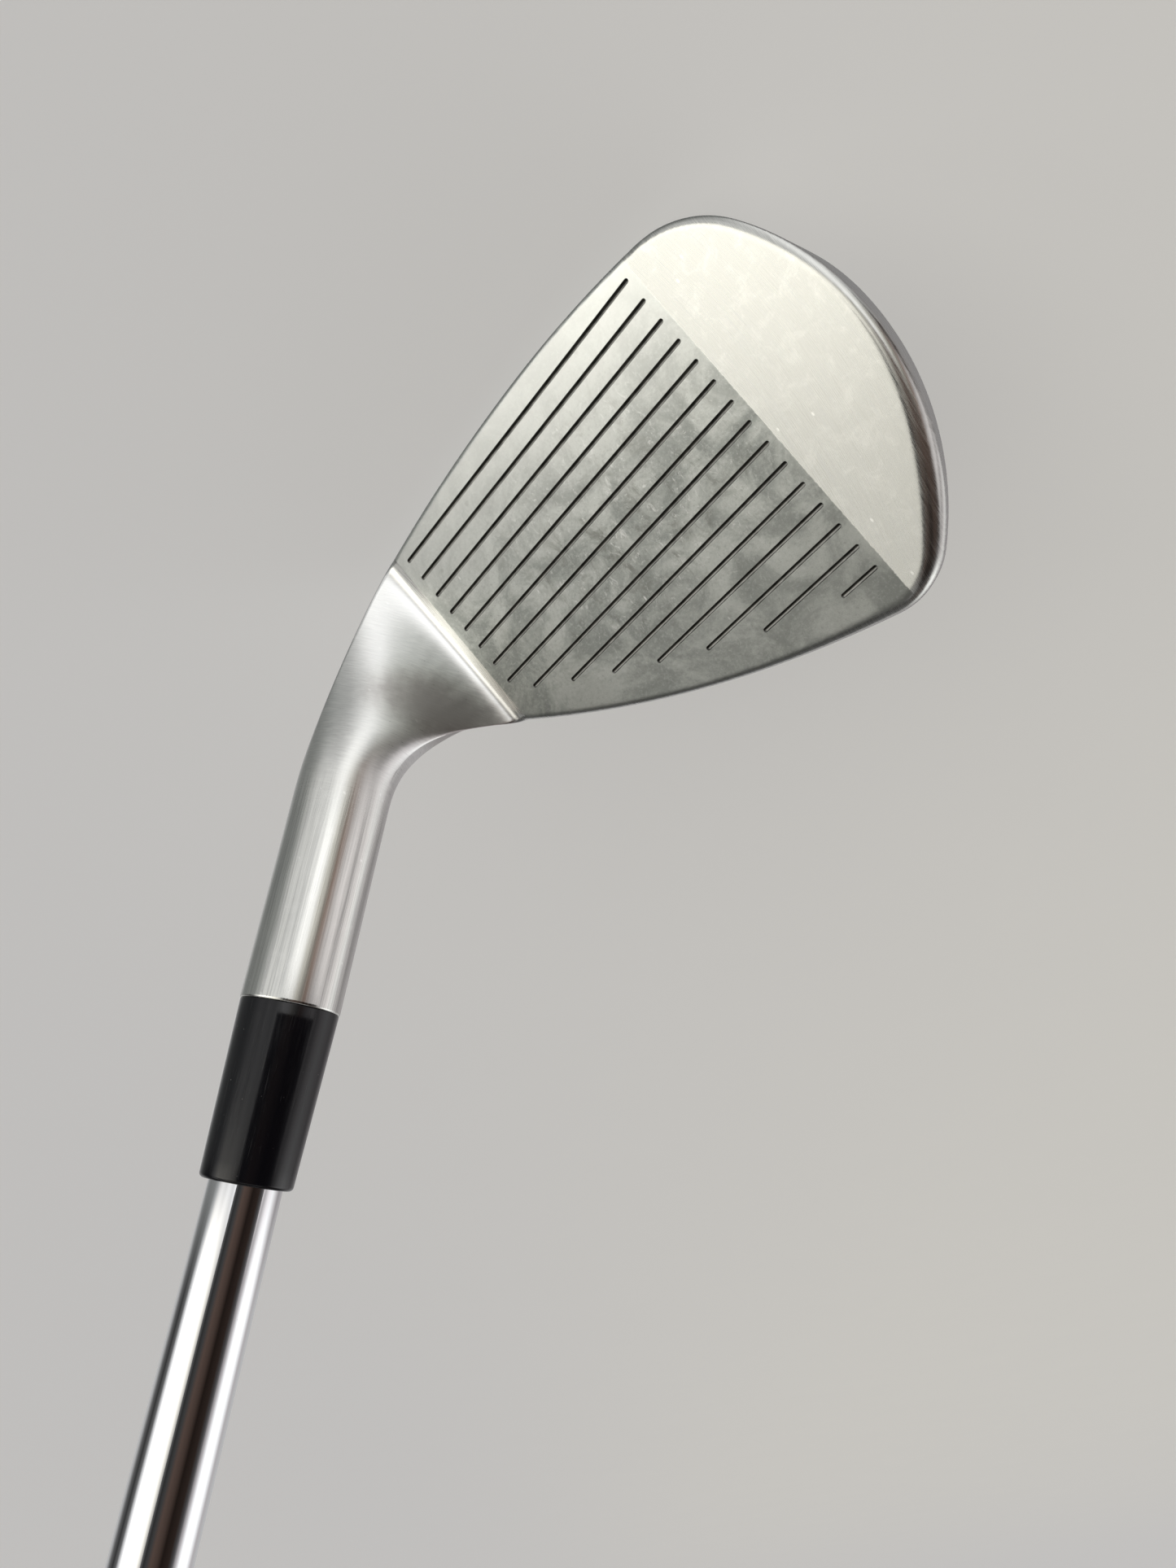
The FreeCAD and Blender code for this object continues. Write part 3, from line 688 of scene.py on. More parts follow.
class Nodes:
    """A node tree, with short ways to add to it."""

    def __init__(self, tree):
        self.tree = tree

    def add(self, kind, **settings):
        node = self.tree.nodes.new("ShaderNode" + kind)
        for name, setting in settings.items():
            setattr(node, name, setting)
        return node

    def put(self, value, socket):
        """Joins a socket to another, or sets it to a plain value."""
        if isinstance(value, bpy.types.NodeSocket):
            self.tree.links.new(value, socket)
        elif isinstance(value, tuple) and len(value) == 3 and socket.type == "RGBA":
            socket.default_value = (*value, 1)
        else:
            socket.default_value = value

    def fill(self, node, *values):
        """Puts values into a node's first inputs, in order."""
        for value, socket in zip(values, node.inputs):
            self.put(value, socket)
        return node

    def set(self, node, **values):
        """Puts values into a node's inputs by name, with _ for a space."""
        for name, value in values.items():
            self.put(value, node.inputs[name.replace("_", " ")])

    def math(self, operation, *values):
        return self.fill(self.add("Math", operation=operation), *values).outputs[0]

    def times(self, first, *others):
        for value in others:
            first = self.math("MULTIPLY", first, value)
        return first

    def vector_math(self, operation, *values):
        return self.fill(self.add("VectorMath", operation=operation), *values)

    def dot(self, vector, axis):
        return self.vector_math("DOT_PRODUCT", vector, tuple(axis)).outputs["Value"]

    def smooth(self, value, low, high, start=0.0, end=1.0):
        """A smooth step of a value, from start at low to end at high."""
        node = self.add("MapRange", interpolation_type="SMOOTHSTEP")
        return self.fill(node, value, low, high, start, end).outputs[0]

    def blend(self, factor, a, b, kind="FLOAT", first=2, result=0):
        """Mixes two plain values."""
        node = self.add("Mix", data_type=kind)
        self.put(factor, node.inputs["Factor"])
        self.put(a, node.inputs[first])
        self.put(b, node.inputs[first + 1])
        return node.outputs[result]

    def mix(self, factor, a, b):
        """Mixes two colours."""
        return self.blend(factor, a, b, "RGBA", 6, 2)


class Shader(Nodes):
    """A material's nodes. Places are in millimetres."""

    def __init__(self, name):
        self.material = bpy.data.materials.new(name)
        self.material.use_nodes = True
        super().__init__(self.material.node_tree)
        self.surface = self.tree.nodes["Principled BSDF"]
        scale = self.vector_math("SCALE", self.add("TexCoord").outputs["Object"])
        self.set(scale, Scale=1 / MM)
        self.place = scale.outputs[0]

    def along(self, axis, origin=(0, 0, 0)):
        """How far a point lies along an axis from an origin."""
        return self.dot(self.vector_math("SUBTRACT", self.place, tuple(origin)).outputs[0], axis)

    def combine(self, x, y, z):
        return self.fill(self.add("CombineXYZ"), x, y, z).outputs[0]

    def stretch(self, vector, scale):
        return self.vector_math("MULTIPLY", vector, scale).outputs[0]

    def noise(self, vector, scale, detail, roughness=0.5, distortion=0.0):
        """Noise of a scale alike in every direction or, from a triple, of one for each axis."""
        if isinstance(scale, tuple):
            vector = self.stretch(vector, scale)
            scale = 1
        node = self.add("TexNoise")
        self.set(node, Vector=vector, Scale=scale, Detail=detail, Roughness=roughness, Distortion=distortion)
        return node.outputs["Fac"]

    def cells(self, vector, scale, randomness=1.0):
        """Distance to the nearest of scattered points."""
        node = self.add("TexVoronoi")
        self.set(node, Vector=vector, Scale=scale, Randomness=randomness)
        return node.outputs["Distance"]

    def spots(self, vector, scale, solid, gone, randomness=1.0):
        """Scattered round spots: 1 within the solid distance of a point, 0 past the gone one."""
        return self.smooth(self.cells(vector, scale, randomness), solid, gone, 1, 0)

    def distance_to(self, place):
        return self.vector_math("DISTANCE", self.place, place).outputs["Value"]

    def grade(self, value, low, high, a, b):
        """A colour that goes from a to b as a value goes from low to high."""
        return self.mix(self.smooth(value, low, high), a, b)

    def over(self, color, mask, strength, other):
        """Lays another colour over one where a mask says, up to a strength."""
        return self.mix(self.times(mask, strength), color, other)

    def bump(self, height, distance, strength):
        """Raises the surface by a height in units of distance, in millimetres."""
        node = self.add("Bump")
        self.set(node, Height=height, Distance=distance * MM, Strength=strength)
        normal = self.surface.inputs["Normal"]
        if normal.links:
            self.put(normal.links[0].from_socket, node.inputs["Normal"])
        self.put(node.outputs[0], normal)

    def finish(self, color, roughness, metallic=0.0, **others):
        self.set(self.surface, Base_Color=color, Roughness=roughness, Metallic=metallic, **others)
        return self.material

    def shaft_coordinates(self):
        """Toeward, back and up the shaft."""
        return tuple(self.along(axis, SHAFT_FOOT) for axis in (SHAFT_TOEWARD, SHAFT_BACK, SHAFT_UP))

    def face_coordinates(self):
        """U, V and depth."""
        return tuple(self.along(axis, FACE_ORIGIN) for axis in (FACE_U, FACE_V, FACE_D))


BLAST_HEEL_U = -56.9
BLAST_TOE_U = 1.0
BLAST_EDGE = 0.08
# The blasted zone is worn round this place on the face, and painted shade darkens the neck's hollow round
# this one.
WORN_U = -22.0
WORN_V = 19.0
HOLLOW = (33.5, 4.5, 28.0)
CREASE = (34.6, 1.0, 30.0)


def head_steel():
    """Satin plated steel, brushed up the toe and along the hosel, and blasted grey round the score lines."""
    s = Shader("satin_plated_steel")
    u, v, depth = s.face_coordinates()
    toeward, back, up = s.shaft_coordinates()
    heelward = s.along((1, 0, 0))
    face = s.combine(u, v, depth)

    ragged = s.math("MULTIPLY_ADD", s.noise(face, 2.5, 2), 0.3, -0.15)
    u_ragged = s.math("ADD", u, ragged)
    in_zone = s.smooth(u_ragged, BLAST_HEEL_U - BLAST_EDGE, BLAST_HEEL_U + BLAST_EDGE)
    off_toe = s.smooth(u_ragged, BLAST_TOE_U - BLAST_EDGE, BLAST_TOE_U + BLAST_EDGE, 1, 0)
    blasted = s.times(in_zone, off_toe, s.smooth(depth, 0.03, 0.25, 1, 0))
    satin_part = s.math("SUBTRACT", 1, blasted)

    # Brushing: up the face on the toe, a little fanned, across the neck, and up the hosel.
    fan = s.times(s.math("POWER", s.math("SUBTRACT", v, 14), 2), 0.004)
    swept = s.combine(s.math("ADD", u, fan), v, depth)
    on_hosel = s.smooth(heelward, 29.4, 31.4)
    on_neck = s.smooth(up, 40, 54, 1, 0)
    around = s.combine(toeward, back, up)
    neck_fine = s.math("MULTIPLY_ADD", s.noise(around, (0.5, 0.5, 6), 3, 0.6), 0.5, 0.25)
    hosel_fine = s.blend(on_neck, s.noise(around, (5.5, 5.5, 0.07), 3, 0.6), neck_fine)
    hosel_broad = s.blend(on_neck, s.noise(around, (1.1, 1.1, 0.04), 3, 0.6), 0.5)
    streaks = s.blend(on_hosel, s.noise(swept, (8, 0.16, 0.16), 3, 0.6), hosel_fine)
    bands = s.blend(on_hosel, s.noise(swept, (1.7, 0.09, 0.09), 4, 0.65), hosel_broad)

    # The blasted zone: cloudy stains, fine grain, rubbed patches, small dark spots and bright nicks.
    clouds = s.noise(face, 0.1, 6, 0.66, 0.8)
    stains = s.smooth(s.noise(s.stretch(face, (1, 0.7, 1)), 0.32, 6, 0.75, 0.7), 0.47, 0.68)
    worn = s.times(s.smooth(s.math("ABSOLUTE", s.math("SUBTRACT", u, WORN_U)), 6, 28, 1, 0.2),
                   s.smooth(s.math("ABSOLUTE", s.math("SUBTRACT", v, WORN_V)), 6, 24, 1, 0.2))
    grain = s.noise(face, 9, 2)
    speckle = s.noise(face, 1.9, 4, 0.75)
    gray = s.grade(clouds, 0.38, 0.62, (0.34, 0.36, 0.34), (0.58, 0.6, 0.57))
    gray = s.mix(s.smooth(speckle, 0.52, 0.64, 0, 0.34), gray, (0.72, 0.73, 0.71))
    gray = s.mix(s.smooth(speckle, 0.46, 0.36, 0, 0.3), gray, (0.22, 0.225, 0.21))
    gray = s.over(gray, stains, s.times(worn, 0.6), (0.17, 0.17, 0.145))
    lift = s.smooth(s.noise(s.stretch(face, (0.9, 0.5, 1)), 0.9, 8, 0.82, 1.2), 0.55, 0.63)
    gray = s.over(gray, lift, s.math("MULTIPLY_ADD", worn, 0.7, 0.15), (0.8, 0.81, 0.79))
    gray = s.over(gray, s.spots(face, 0.15, 0.03, 0.085), 0.6, (0.16, 0.16, 0.14))
    nicks = s.spots(s.stretch(face, (1, 0.4, 1)), 0.36, 0.03, 0.075)
    nicks = s.times(nicks, s.smooth(s.noise(face, 0.2, 2), 0.45, 0.6))
    gray = s.over(gray, nicks, 0.85, (0.97, 0.97, 0.96))
    gray = s.over(gray, s.spots(face, 1.3, 0.06, 0.16), 0.22, (0.2, 0.2, 0.19))
    gray = s.mix(s.smooth(grain, 0.35, 0.65, 0, 0.22), gray, (0.27, 0.28, 0.27))
    # Painted shade darkens the blasted zone towards the top of the face, and a painted highlight lightens it
    # low on the face near the leading edge.
    gray = s.mix(s.smooth(v, 14, 54, 0, 0.45), gray, (0.22, 0.225, 0.21))
    slanted = s.math("SUBTRACT", v, s.math("MULTIPLY_ADD", u, 0.15, 2.9))
    painted_highlight_low_on_face = s.smooth(slanted, 24, -8)
    gray = s.over(gray, painted_highlight_low_on_face, 0.78, (0.93, 0.945, 0.91))

    # The satin part: streaked, mottled, flecked bright and marked dark.
    satin = s.grade(streaks, 0.32, 0.68, (0.6, 0.6, 0.575), (0.8, 0.8, 0.765))
    satin = s.mix(s.smooth(heelward, -15, 30, 0.42, 0), satin, (0.4, 0.405, 0.385))
    satin = s.mix(s.smooth(bands, 0.45, 0.7, 0, 0.55), satin, (0.56, 0.565, 0.55))
    mottle = s.noise(face, 0.35, 5, 0.7, 0.5)
    satin = s.mix(s.smooth(mottle, 0.45, 0.75, 0, 0.3), satin, (0.8, 0.8, 0.77))
    flecks = s.spots(s.stretch(face, (1, 0.5, 1)), 0.42, 0.03, 0.09)
    satin = s.over(satin, flecks, 0.5, (0.98, 0.98, 0.96))
    satin = s.over(satin, s.spots(face, 0.11, 0.025, 0.075), 0.45, (0.35, 0.36, 0.34))

    # The neck: a painted highlight under the heel's lip, and painted brownish shade in the crotch's hollow.
    offset = s.vector_math("SUBTRACT", s.place, HOLLOW).outputs[0]
    from_hollow = s.vector_math("LENGTH", s.stretch(offset, (1, 0.5, 1))).outputs["Value"]
    low = s.smooth(up, 30, 54, 1, 0)
    # Painted highlight: the neck's satin is lightened under the heel's lip, away from the hollow and more
    # towards the back.
    painted_neck_highlight = s.times(on_hosel, low, s.smooth(from_hollow, 4, 10), s.smooth(back, -4, 6, 0.25, 0.85))
    satin = s.mix(painted_neck_highlight, satin, s.grade(streaks, 0.4, 0.6, (0.86, 0.87, 0.87), (0.98, 0.985, 0.98)))
    patchy = s.math("MULTIPLY_ADD", s.noise(s.place, 0.35, 4, 0.65), 5, -2.5)
    # Painted shade: a brownish darkening round the crotch's hollow, its edge broken up by noise.
    painted_hollow_shade = s.smooth(s.math("ADD", from_hollow, patchy), 2, 8, 0.66, 0)
    satin = s.over(satin, on_hosel, painted_hollow_shade, (0.27, 0.235, 0.235))

    polish = s.times(on_hosel, s.smooth(up, 44, 58, -0.07, 0.06))
    satin_rough = s.math("SUBTRACT", s.smooth(streaks, 0.3, 0.7, 0.19, 0.3), polish)
    blasted_rough = s.blend(painted_highlight_low_on_face, s.smooth(clouds, 0.3, 0.7, 0.5, 0.4), 0.33)
    s.bump(s.times(grain, blasted), 0.03, 0.6)
    s.bump(s.times(streaks, satin_part), 0.005, 0.4)
    crease = s.smooth(s.distance_to(CREASE), 1.5, 6, 1, 0)
    s.bump(s.times(s.noise(s.place, 0.4, 1, 0.4), crease), 0.1, 0.15)
    return s.finish(s.mix(blasted, satin, gray), s.blend(blasted, satin_rough, blasted_rough), 1)


def groove_steel():
    """Inside the score lines: dark, patchy painted shade on the wall under each line, and painted light on
    the one above.
    """
    s = Shader("groove_steel")
    v, depth = s.face_coordinates()[1:]
    patch = s.noise(s.place, 0.8, 3)
    half = LINE_PITCH / 2
    aside = s.math("SUBTRACT", s.math("FLOORED_MODULO", s.math("ADD", v, half), LINE_PITCH), half)
    # Painted shade on the wall under each line and a painted lit wall above it, both patchy.
    painted_wall_shade = s.grade(patch, 0.35, 0.65, (0.03, 0.03, 0.026), (0.07, 0.068, 0.06))
    painted_lit_wall = s.grade(patch, 0.35, 0.65, (0.3, 0.3, 0.285), (0.5, 0.5, 0.48))
    wall = s.grade(aside, -0.1, 0.06, painted_wall_shade, painted_lit_wall)
    color = s.grade(depth, 0.02, 0.08, (0.55, 0.56, 0.55), wall)
    return s.finish(color, s.smooth(patch, 0.3, 0.7, 0.4, 0.6), 0.85)


def chrome():
    """Mirror plating with a little haze, fine lengthwise scratches and a few specks."""
    s = Shader("mirror_chrome")
    around = s.combine(*s.shaft_coordinates())
    haze = s.noise(around, (0.6, 0.6, 0.048), 3)
    color = s.over((0.83, 0.835, 0.85), s.spots(s.place, 0.35, 0.015, 0.04), 0.5, (0.45, 0.45, 0.45))
    s.bump(s.noise(around, (9, 9, 0.3), 2), 0.001, 0.4)
    return s.finish(color, s.smooth(haze, 0.3, 0.7, 0.03, 0.07), 1)


def ferrule_black():
    """Glossy black plastic, with buffing marks along it, dust and fine scratches."""
    s = Shader("ferrule_black")
    around = s.combine(*s.shaft_coordinates())
    dust = s.times(s.spots(s.place, 0.8, 0.03, 0.08), s.smooth(s.noise(s.place, 0.4, 2), 0.48, 0.6))
    rub = s.noise(around, (3, 3, 0.25), 4, 0.6)
    hairlines = s.smooth(s.noise(around, (7, 7, 0.12), 2), 0.66, 0.7)
    color = s.over((0.004, 0.004, 0.006), dust, 0.5, (0.28, 0.28, 0.27))
    color = s.over(color, hairlines, 0.1, (0.15, 0.15, 0.15))
    s.bump(rub, 0.002, 0.5)
    return s.finish(color, s.smooth(rub, 0.3, 0.75, 0.1, 0.22), Specular_IOR_Level=0.42)


def grip_rubber():
    """Black moulded rubber: fine grain, dusty in patches and rubbed smoother in patches."""
    s = Shader("grip_rubber")
    grain = s.noise(s.place, 3.2, 4, 0.7)
    wear = s.noise(s.combine(*s.shaft_coordinates()), (0.12, 0.12, 0.03), 4, 0.6)
    dust = s.smooth(s.noise(s.place, 0.5, 5, 0.7), 0.5, 0.75)
    color = s.grade(wear, 0.35, 0.65, (0.018, 0.018, 0.019), (0.04, 0.039, 0.038))
    color = s.over(color, dust, 0.2, (0.13, 0.125, 0.115))
    rough = s.math("ADD", s.smooth(wear, 0.3, 0.7, 0.78, 0.55), s.smooth(grain, 0.3, 0.7, -0.04, 0.06))
    s.bump(grain, 0.06, 0.7)
    return s.finish(color, rough, Specular_IOR_Level=0.35)


def badge_metal():
    """Dark nickel badge: brushed rim, darker ribbed panel."""
    s = Shader("badge_metal")
    u, v, depth = s.face_coordinates()
    brushed = s.noise(s.combine(u, v, depth), (0.12, 7, 7), 3, 0.6)
    dark = s.grade(brushed, 0.3, 0.7, (0.05, 0.052, 0.058), (0.1, 0.102, 0.11))
    light = s.grade(brushed, 0.3, 0.7, (0.42, 0.42, 0.43), (0.6, 0.6, 0.6))
    color = s.grade(depth, BADGE_BACK - 0.3, BADGE_BACK - 0.08, dark, light)
    color = s.over(color, s.spots(s.place, 0.5, 0.02, 0.06), 0.4, (0.5, 0.5, 0.48))
    s.bump(brushed, 0.01, 0.5)
    return s.finish(color, s.smooth(brushed, 0.3, 0.7, 0.26, 0.42), 1)


def label_film():
    """Silver film printed with plain dark and gold bands, and a fine dot screen between them."""
    s = Shader("label_film")
    toeward, back, up = s.shaft_coordinates()
    around = s.combine(toeward, back, up)
    aside = s.math("ABSOLUTE", s.math("SUBTRACT", up, (LABEL_BOTTOM + LABEL_TOP) / 2))
    foil = s.noise(around, (2, 2, 0.1), 3)
    navy = s.times(s.smooth(aside, 8.45, 8.55), s.smooth(aside, 11.45, 11.55, 1, 0))
    gold = s.times(s.smooth(aside, 7.4, 7.45), s.smooth(aside, 7.9, 7.95, 1, 0))
    dots = s.times(s.spots(around, 1.4, 0.2, 0.26, 0), s.smooth(aside, 5, 5.1, 1, 0))
    color = s.grade(foil, 0.3, 0.7, (0.55, 0.56, 0.57), (0.68, 0.69, 0.7))
    color = s.mix(navy, color, (0.02, 0.035, 0.09))
    color = s.mix(gold, color, (0.55, 0.36, 0.1))
    color = s.over(color, dots, 0.8, (0.06, 0.08, 0.14))
    s.bump(foil, 0.004, 0.4)
    return s.finish(color, s.smooth(foil, 0.3, 0.7, 0.22, 0.34), 0.4, Coat_Weight=0.5, Coat_Roughness=0.12)


def tape_paper():
    """Cream crepe tape wound in a spiral, darker where it overlaps."""
    s = Shader("tape_paper")
    toeward, back, up = s.shaft_coordinates()
    turn = s.math("ARCTAN2", back, toeward)
    wound = s.math("FRACT", s.math("ADD", s.math("DIVIDE", up, 22), s.math("DIVIDE", turn, 2 * math.pi)))
    overlap = s.smooth(wound, 0.1, 0.12, 1, 0)
    crepe = s.noise(s.place, (1.5, 1.5, 4), 4, 0.7)
    color = s.grade(crepe, 0.3, 0.7, (0.6, 0.52, 0.36), (0.74, 0.66, 0.48))
    color = s.over(color, overlap, 0.45, (0.5, 0.41, 0.26))
    s.bump(crepe, 0.05, 0.8)
    return s.finish(color, s.smooth(crepe, 0.3, 0.7, 0.75, 0.9))


def foam_tape():
    """Grey closed-cell foam."""
    s = Shader("foam_tape")
    cells = s.cells(s.place, 2.6)
    shade = s.noise(s.place, 0.5, 4, 0.6)
    color = s.grade(cells, 0.1, 0.5, (0.16, 0.16, 0.165), (0.3, 0.3, 0.31))
    color = s.mix(s.smooth(shade, 0.4, 0.7, 0, 0.3), color, (0.12, 0.12, 0.12))
    s.bump(cells, 0.08, 0.7)
    return s.finish(color, s.smooth(shade, 0.3, 0.7, 0.8, 0.95))


def epoxy():
    """Set grey-amber glue with small bubbles."""
    s = Shader("epoxy")
    bubbles = s.spots(s.place, 1.4, 0.1, 0.2)
    flow = s.noise(s.place, 0.3, 4, 0.6, 1)
    color = s.grade(flow, 0.35, 0.65, (0.2, 0.16, 0.1), (0.34, 0.29, 0.2))
    color = s.over(color, bubbles, 0.5, (0.55, 0.52, 0.44))
    s.bump(bubbles, 0.05, 0.6)
    return s.finish(color, s.smooth(flow, 0.3, 0.7, 0.25, 0.4))


def plug_metal():
    """Turned brass-coloured weight: rings from the tool on its ends and side."""
    s = Shader("plug_metal")
    toeward, back, up = s.shaft_coordinates()
    reach = s.math("SQRT", s.math("ADD", s.times(toeward, toeward), s.times(back, back)))
    rings = s.noise(s.combine(reach, up, 0), (6, 6, 1), 3, 0.6)
    stain = s.noise(s.place, 0.6, 4, 0.6)
    color = s.grade(rings, 0.3, 0.7, (0.5, 0.37, 0.17), (0.68, 0.53, 0.28))
    color = s.mix(s.smooth(stain, 0.5, 0.75, 0, 0.5), color, (0.27, 0.18, 0.09))
    s.bump(rings, 0.02, 0.6)
    return s.finish(color, s.smooth(stain, 0.3, 0.7, 0.25, 0.45), 1)


head = build_head()
cutter = score_line_cutter()
dress(head, head_steel())
dress(cutter, groove_steel())
cut_away(head, cutter)
takes_place(head, "club_head", 32)

rubber = grip_rubber()
for build, material, node, slot, sharp in (
    (build_ferrule, ferrule_black(), "ferrule", "ferrule_black", 50),
    (build_shaft, chrome(), "shaft", "shaft_chrome", 50),
    (build_label, label_film(), "shaft_label", "label_film", 50),
    (build_grip, rubber, "grip_sleeve", "grip_rubber", 60),
    (build_end_cap, rubber, "grip_end_cap", "grip_rubber", 60),
    (build_badge, badge_metal(), "cavity_badge", "badge_metal", 40),
):
    piece = build()
    dress(piece, material)
    takes_place(piece, node, sharp)

dress(nodes["grip_tape"], tape_paper())
dress(nodes["badge_adhesive_pad"], foam_tape())
dress(nodes["hosel_epoxy"], epoxy())
dress(nodes["swing_weight_plug"], plug_metal())

# ---- camera, light and floor

TOWARDS_CAMERA = np.array([-0.840, -0.363, 0.404])
ACROSS_VIEW = np.array([0.327, -0.932, -0.157])

CAMERA_PLACE = (-76.156, -66.805, 150.728)
CAMERA_RIGHT = (-0.6008, 0.7929, 0.1019)
CAMERA_DOWN = (0.5518, 0.3191, 0.7705)
CAMERA_LENS = 26.974

# What the studio shows in reflections: rings of (degrees round the shaft from the camera's side, brightness,
# any tint), each for its own range of heights up the shaft's direction.
PINK = (1.04, 0.99, 1)
BROWN = (1.25, 0.85, 0.7)
GREEN = (0.97, 1, 0.98)
WARM = (1.03, 1, 0.92)
UNDER_RING = (
    (-180, 0.22, GREEN), (-120, 0.3, PINK), (-80, 0.42, PINK), (-60, 0.5), (-40, 0.72), (-22, 1),
    (-8, 1.25), (12, 1.35), (28, 0.9), (48, 0.62), (75, 0.36, GREEN), (105, 0.2, GREEN),
)
LOW_RING = (
    (-180, 0.3, GREEN), (-120, 0.33, PINK), (-82, 0.34, PINK), (-68, 0.3, PINK), (-60, 0.05, BROWN),
    (-34, 0.04, BROWN), (-22, 0.3), (-10, 1.1), (5, 1.5), (16, 1.5), (28, 0.85), (45, 0.6), (65, 0.55),
    (85, 0.4, GREEN), (105, 0.25, GREEN),
)
MIDDLE_RING = (
    (-180, 0.4, PINK), (-150, 0.4, PINK), (-127, 0.3, PINK), (-112, 0.6, PINK), (-97, 1), (-84, 0.95, PINK),
    (-68, 0.45, PINK), (-54, 1, PINK), (-38, 0.58, PINK), (-25, 0.24, BROWN), (-16, 0.3, WARM),
    (-6, 0.8, WARM), (4, 1.45), (14, 1.6), (24, 1.15), (34, 0.75), (46, 0.9), (56, 0.68), (68, 0.78),
    (78, 0.55), (88, 0.34, GREEN), (100, 0.26, GREEN), (127, 0.22, GREEN), (142, 0.26, GREEN), (158, 0.5),
)
UPPER_RING = (
    (-180, 0.5), (-150, 0.52), (-127, 0.48, PINK), (-110, 1.1), (-95, 1.7), (-80, 1.3), (-68, 0.5, PINK),
    (-57, 0.1, PINK), (-45, 0.05, BROWN), (10, 0.1, BROWN), (26, 0.5, WARM), (36, 1.3, WARM), (52, 2, WARM),
    (76, 2.2, WARM), (86, 1), (98, 0.14), (112, 0.04), (128, 0.12), (150, 0.5),
)
HIGH_RING = (
    (-180, 0.12), (-120, 0.13), (-60, 0.08, BROWN), (-20, 0.045, BROWN), (8, 0.06, BROWN), (22, 0.12, WARM),
    (36, 0.34, WARM), (50, 0.72, WARM), (60, 1.05, WARM), (70, 1.1, WARM), (77, 0.6), (84, 0.05, BROWN),
    (91, 0.06, BROWN), (97, 1.2), (104, 0.8), (113, 0.09),
)
OVERHEAD_RING = ((-180, 0.07), (60, 0.09, WARM))
# Each ring with the heights between which it takes over from the one under it.
STUDIO = ((-0.84, -0.74, LOW_RING), (-0.6, -0.48, MIDDLE_RING), (0.02, 0.14, UPPER_RING),
          (0.46, 0.68, HIGH_RING), (0.88, 0.95, OVERHEAD_RING))
ROOM_COLOR = (0.535, 0.527, 0.515)

# A dark card beside the camera, wrapped part of the way round the shaft, which only reflections see. It fades
# from its middle to its top.
CARD_RADIUS = 160.0
CARD_BOTTOM = 63.6
CARD_MIDDLE = 230.0
CARD_TOP = 450.0
CARD_TOP_TONE = 0.8
CARD_TONES = (
    (-60, 0.16, PINK), (-54, 0.06, PINK), (-45, 0.022, BROWN), (-26, 0.012, BROWN), (-14, 0.05, BROWN),
    (0, 0.075, BROWN), (10, 0.05), (18, 0.03), (25, 0.12),
)

FLOOR_HALF = 20000.0


def tinted(level, tint=(1, 1, 1)):
    """A brightness and its tint as a colour."""
    return (*(level * part for part in tint), 1)


def set_camera():
    """Looks at the head from close to its toe, with the shaft running down the picture."""
    right = Vector(CAMERA_RIGHT).normalized()
    up = -Vector(CAMERA_DOWN).normalized()
    turn = Matrix((right, up, right.cross(up))).transposed().to_4x4()
    data = bpy.data.cameras.new("camera")
    data.lens = CAMERA_LENS
    data.sensor_width = 36.0
    data.clip_start = 0.01
    camera = bpy.data.objects.new("camera", data)
    camera.matrix_world = Matrix.Translation(Vector(CAMERA_PLACE) * MM) @ turn
    bpy.context.scene.collection.objects.link(camera)
    bpy.context.scene.camera = camera


def studio_world():
    """Soft boxes and dark flags that only reflections and light see; the camera sees a plain pale room."""
    world = bpy.data.worlds.new("studio")
    world.use_nodes = True
    s = Nodes(world.node_tree)
    direction = s.add("TexCoord").outputs["Generated"]
    angle = s.math("ARCTAN2", s.dot(direction, ACROSS_VIEW), s.dot(direction, TOWARDS_CAMERA))
    turn = s.math("MULTIPLY_ADD", angle, 1 / (2 * math.pi), 0.5)

    def ring(stops):
        ramp = s.add("ValToRGB")
        s.put(turn, ramp.inputs[0])
        marks = ramp.color_ramp.elements
        marks.remove(marks[1])
        for number, (degrees, *light) in enumerate(stops):
            place = degrees / 360 + 0.5
            mark = marks[0] if number == 0 else marks.new(place)
            mark.position = place
            mark.color = tinted(*light)
        return ramp.outputs[0]

    lengthwise = s.dot(direction, SHAFT_UP)
    studio = ring(UNDER_RING)
    for low, high, stops in STUDIO:
        studio = s.mix(s.smooth(lengthwise, low, high), studio, ring(stops))
    seen = s.add("LightPath").outputs["Is Camera Ray"]
    s.put(s.mix(seen, studio, ROOM_COLOR), s.tree.nodes["Background"].inputs["Color"])
    bpy.context.scene.world = world


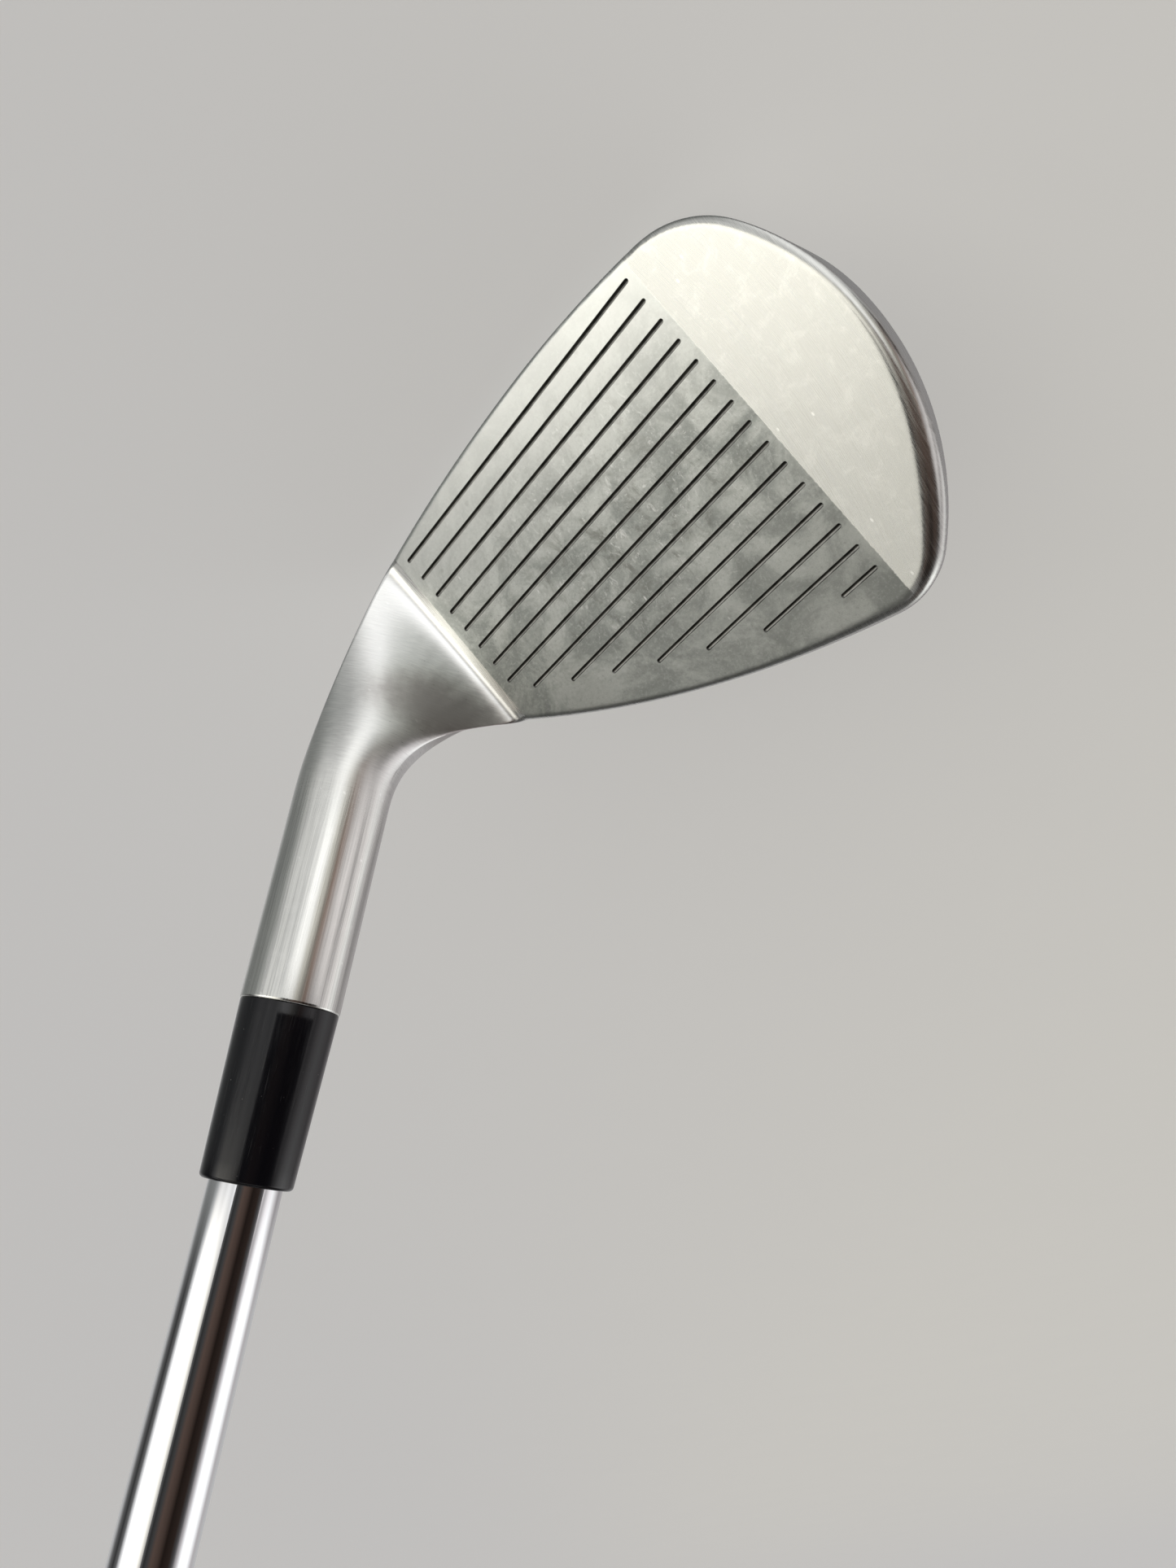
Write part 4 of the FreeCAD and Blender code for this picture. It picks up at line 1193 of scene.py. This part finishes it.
def dark_card():
    """Stands in for the dark camera, which the chrome, the ferrule and the toe's rounding show."""
    columns = len(CARD_TONES)
    turn = np.radians([tone[0] for tone in CARD_TONES])[:, None]
    towards = TOWARDS_CAMERA / np.linalg.norm(TOWARDS_CAMERA)
    across = ACROSS_VIEW / np.linalg.norm(ACROSS_VIEW)
    away = (towards * np.cos(turn) + across * np.sin(turn)) * CARD_RADIUS
    foot = SHAFT_FOOT + away
    points = np.concatenate([foot + SHAFT_UP * height for height in (CARD_BOTTOM, CARD_MIDDLE, CARD_TOP)])
    starts = [row * columns + i for row in range(2) for i in range(columns - 1)]
    faces = [(i, i + 1, columns + i + 1, columns + i) for i in starts]
    card = make_object("dark_card", points, faces)
    tones = card.data.color_attributes.new("tone", "FLOAT_COLOR", "POINT")
    lights = [tinted(*light) for _, *light in CARD_TONES] * 2 + [tinted(CARD_TOP_TONE)] * columns
    for vertex, light in zip(tones.data, lights):
        vertex.color = light
    material = bpy.data.materials.new("dark_card")
    material.use_nodes = True
    s = Nodes(material.node_tree)
    s.tree.nodes.clear()
    tone = s.add("VertexColor", layer_name="tone").outputs["Color"]
    glow = s.fill(s.add("Emission"), tone)
    s.put(glow.outputs[0], s.add("OutputMaterial").inputs["Surface"])
    card.data.materials.append(material)
    card.visible_camera = False
    card.visible_diffuse = False
    card.visible_shadow = False
    card.visible_transmission = False


def pale_floor():
    """A plain sweep of pale paper that glows a little, painted light that fills in the club's shadow, with a
    painted pool of brighter, warmer light on one side near the club.
    """
    corners = [(x * FLOOR_HALF, y * FLOOR_HALF, 0) for x, y in ((-1, -1), (1, -1), (1, 1), (-1, 1))]
    floor = make_object("floor", corners, [(0, 1, 2, 3)], smooth=False)
    s = Shader("pale_paper")
    nearby = s.smooth(s.distance_to((0, 0, 0)), 500, 2500, 0.7, 0)
    # A painted pool of light: brighter, warmer paper on one side near the club.
    painted_light_pool = s.times(s.smooth(s.along((-0.6, 0.79, 0)), -160, 200), nearby)
    fibre = s.noise(s.place, 0.02, 5, 0.6)
    paper = s.mix(painted_light_pool, (0.38, 0.38, 0.378), (0.44, 0.43, 0.405))
    paper = s.mix(s.smooth(fibre, 0.3, 0.7, 0, 0.12), paper, (0.36, 0.36, 0.35))
    # The glow is painted light that fills in the club's shadow; it is stronger and warmer in the painted pool
    # of light.
    glow = s.mix(painted_light_pool, (1, 0.99, 0.98), (1.1, 1.08, 1))
    dress(floor, s.finish(paper, 0.9, Emission_Color=glow, Emission_Strength=0.37))
    floor.visible_glossy = False


set_camera()
studio_world()
dark_card()
pale_floor()
bpy.context.scene.view_settings.view_transform = "Standard"
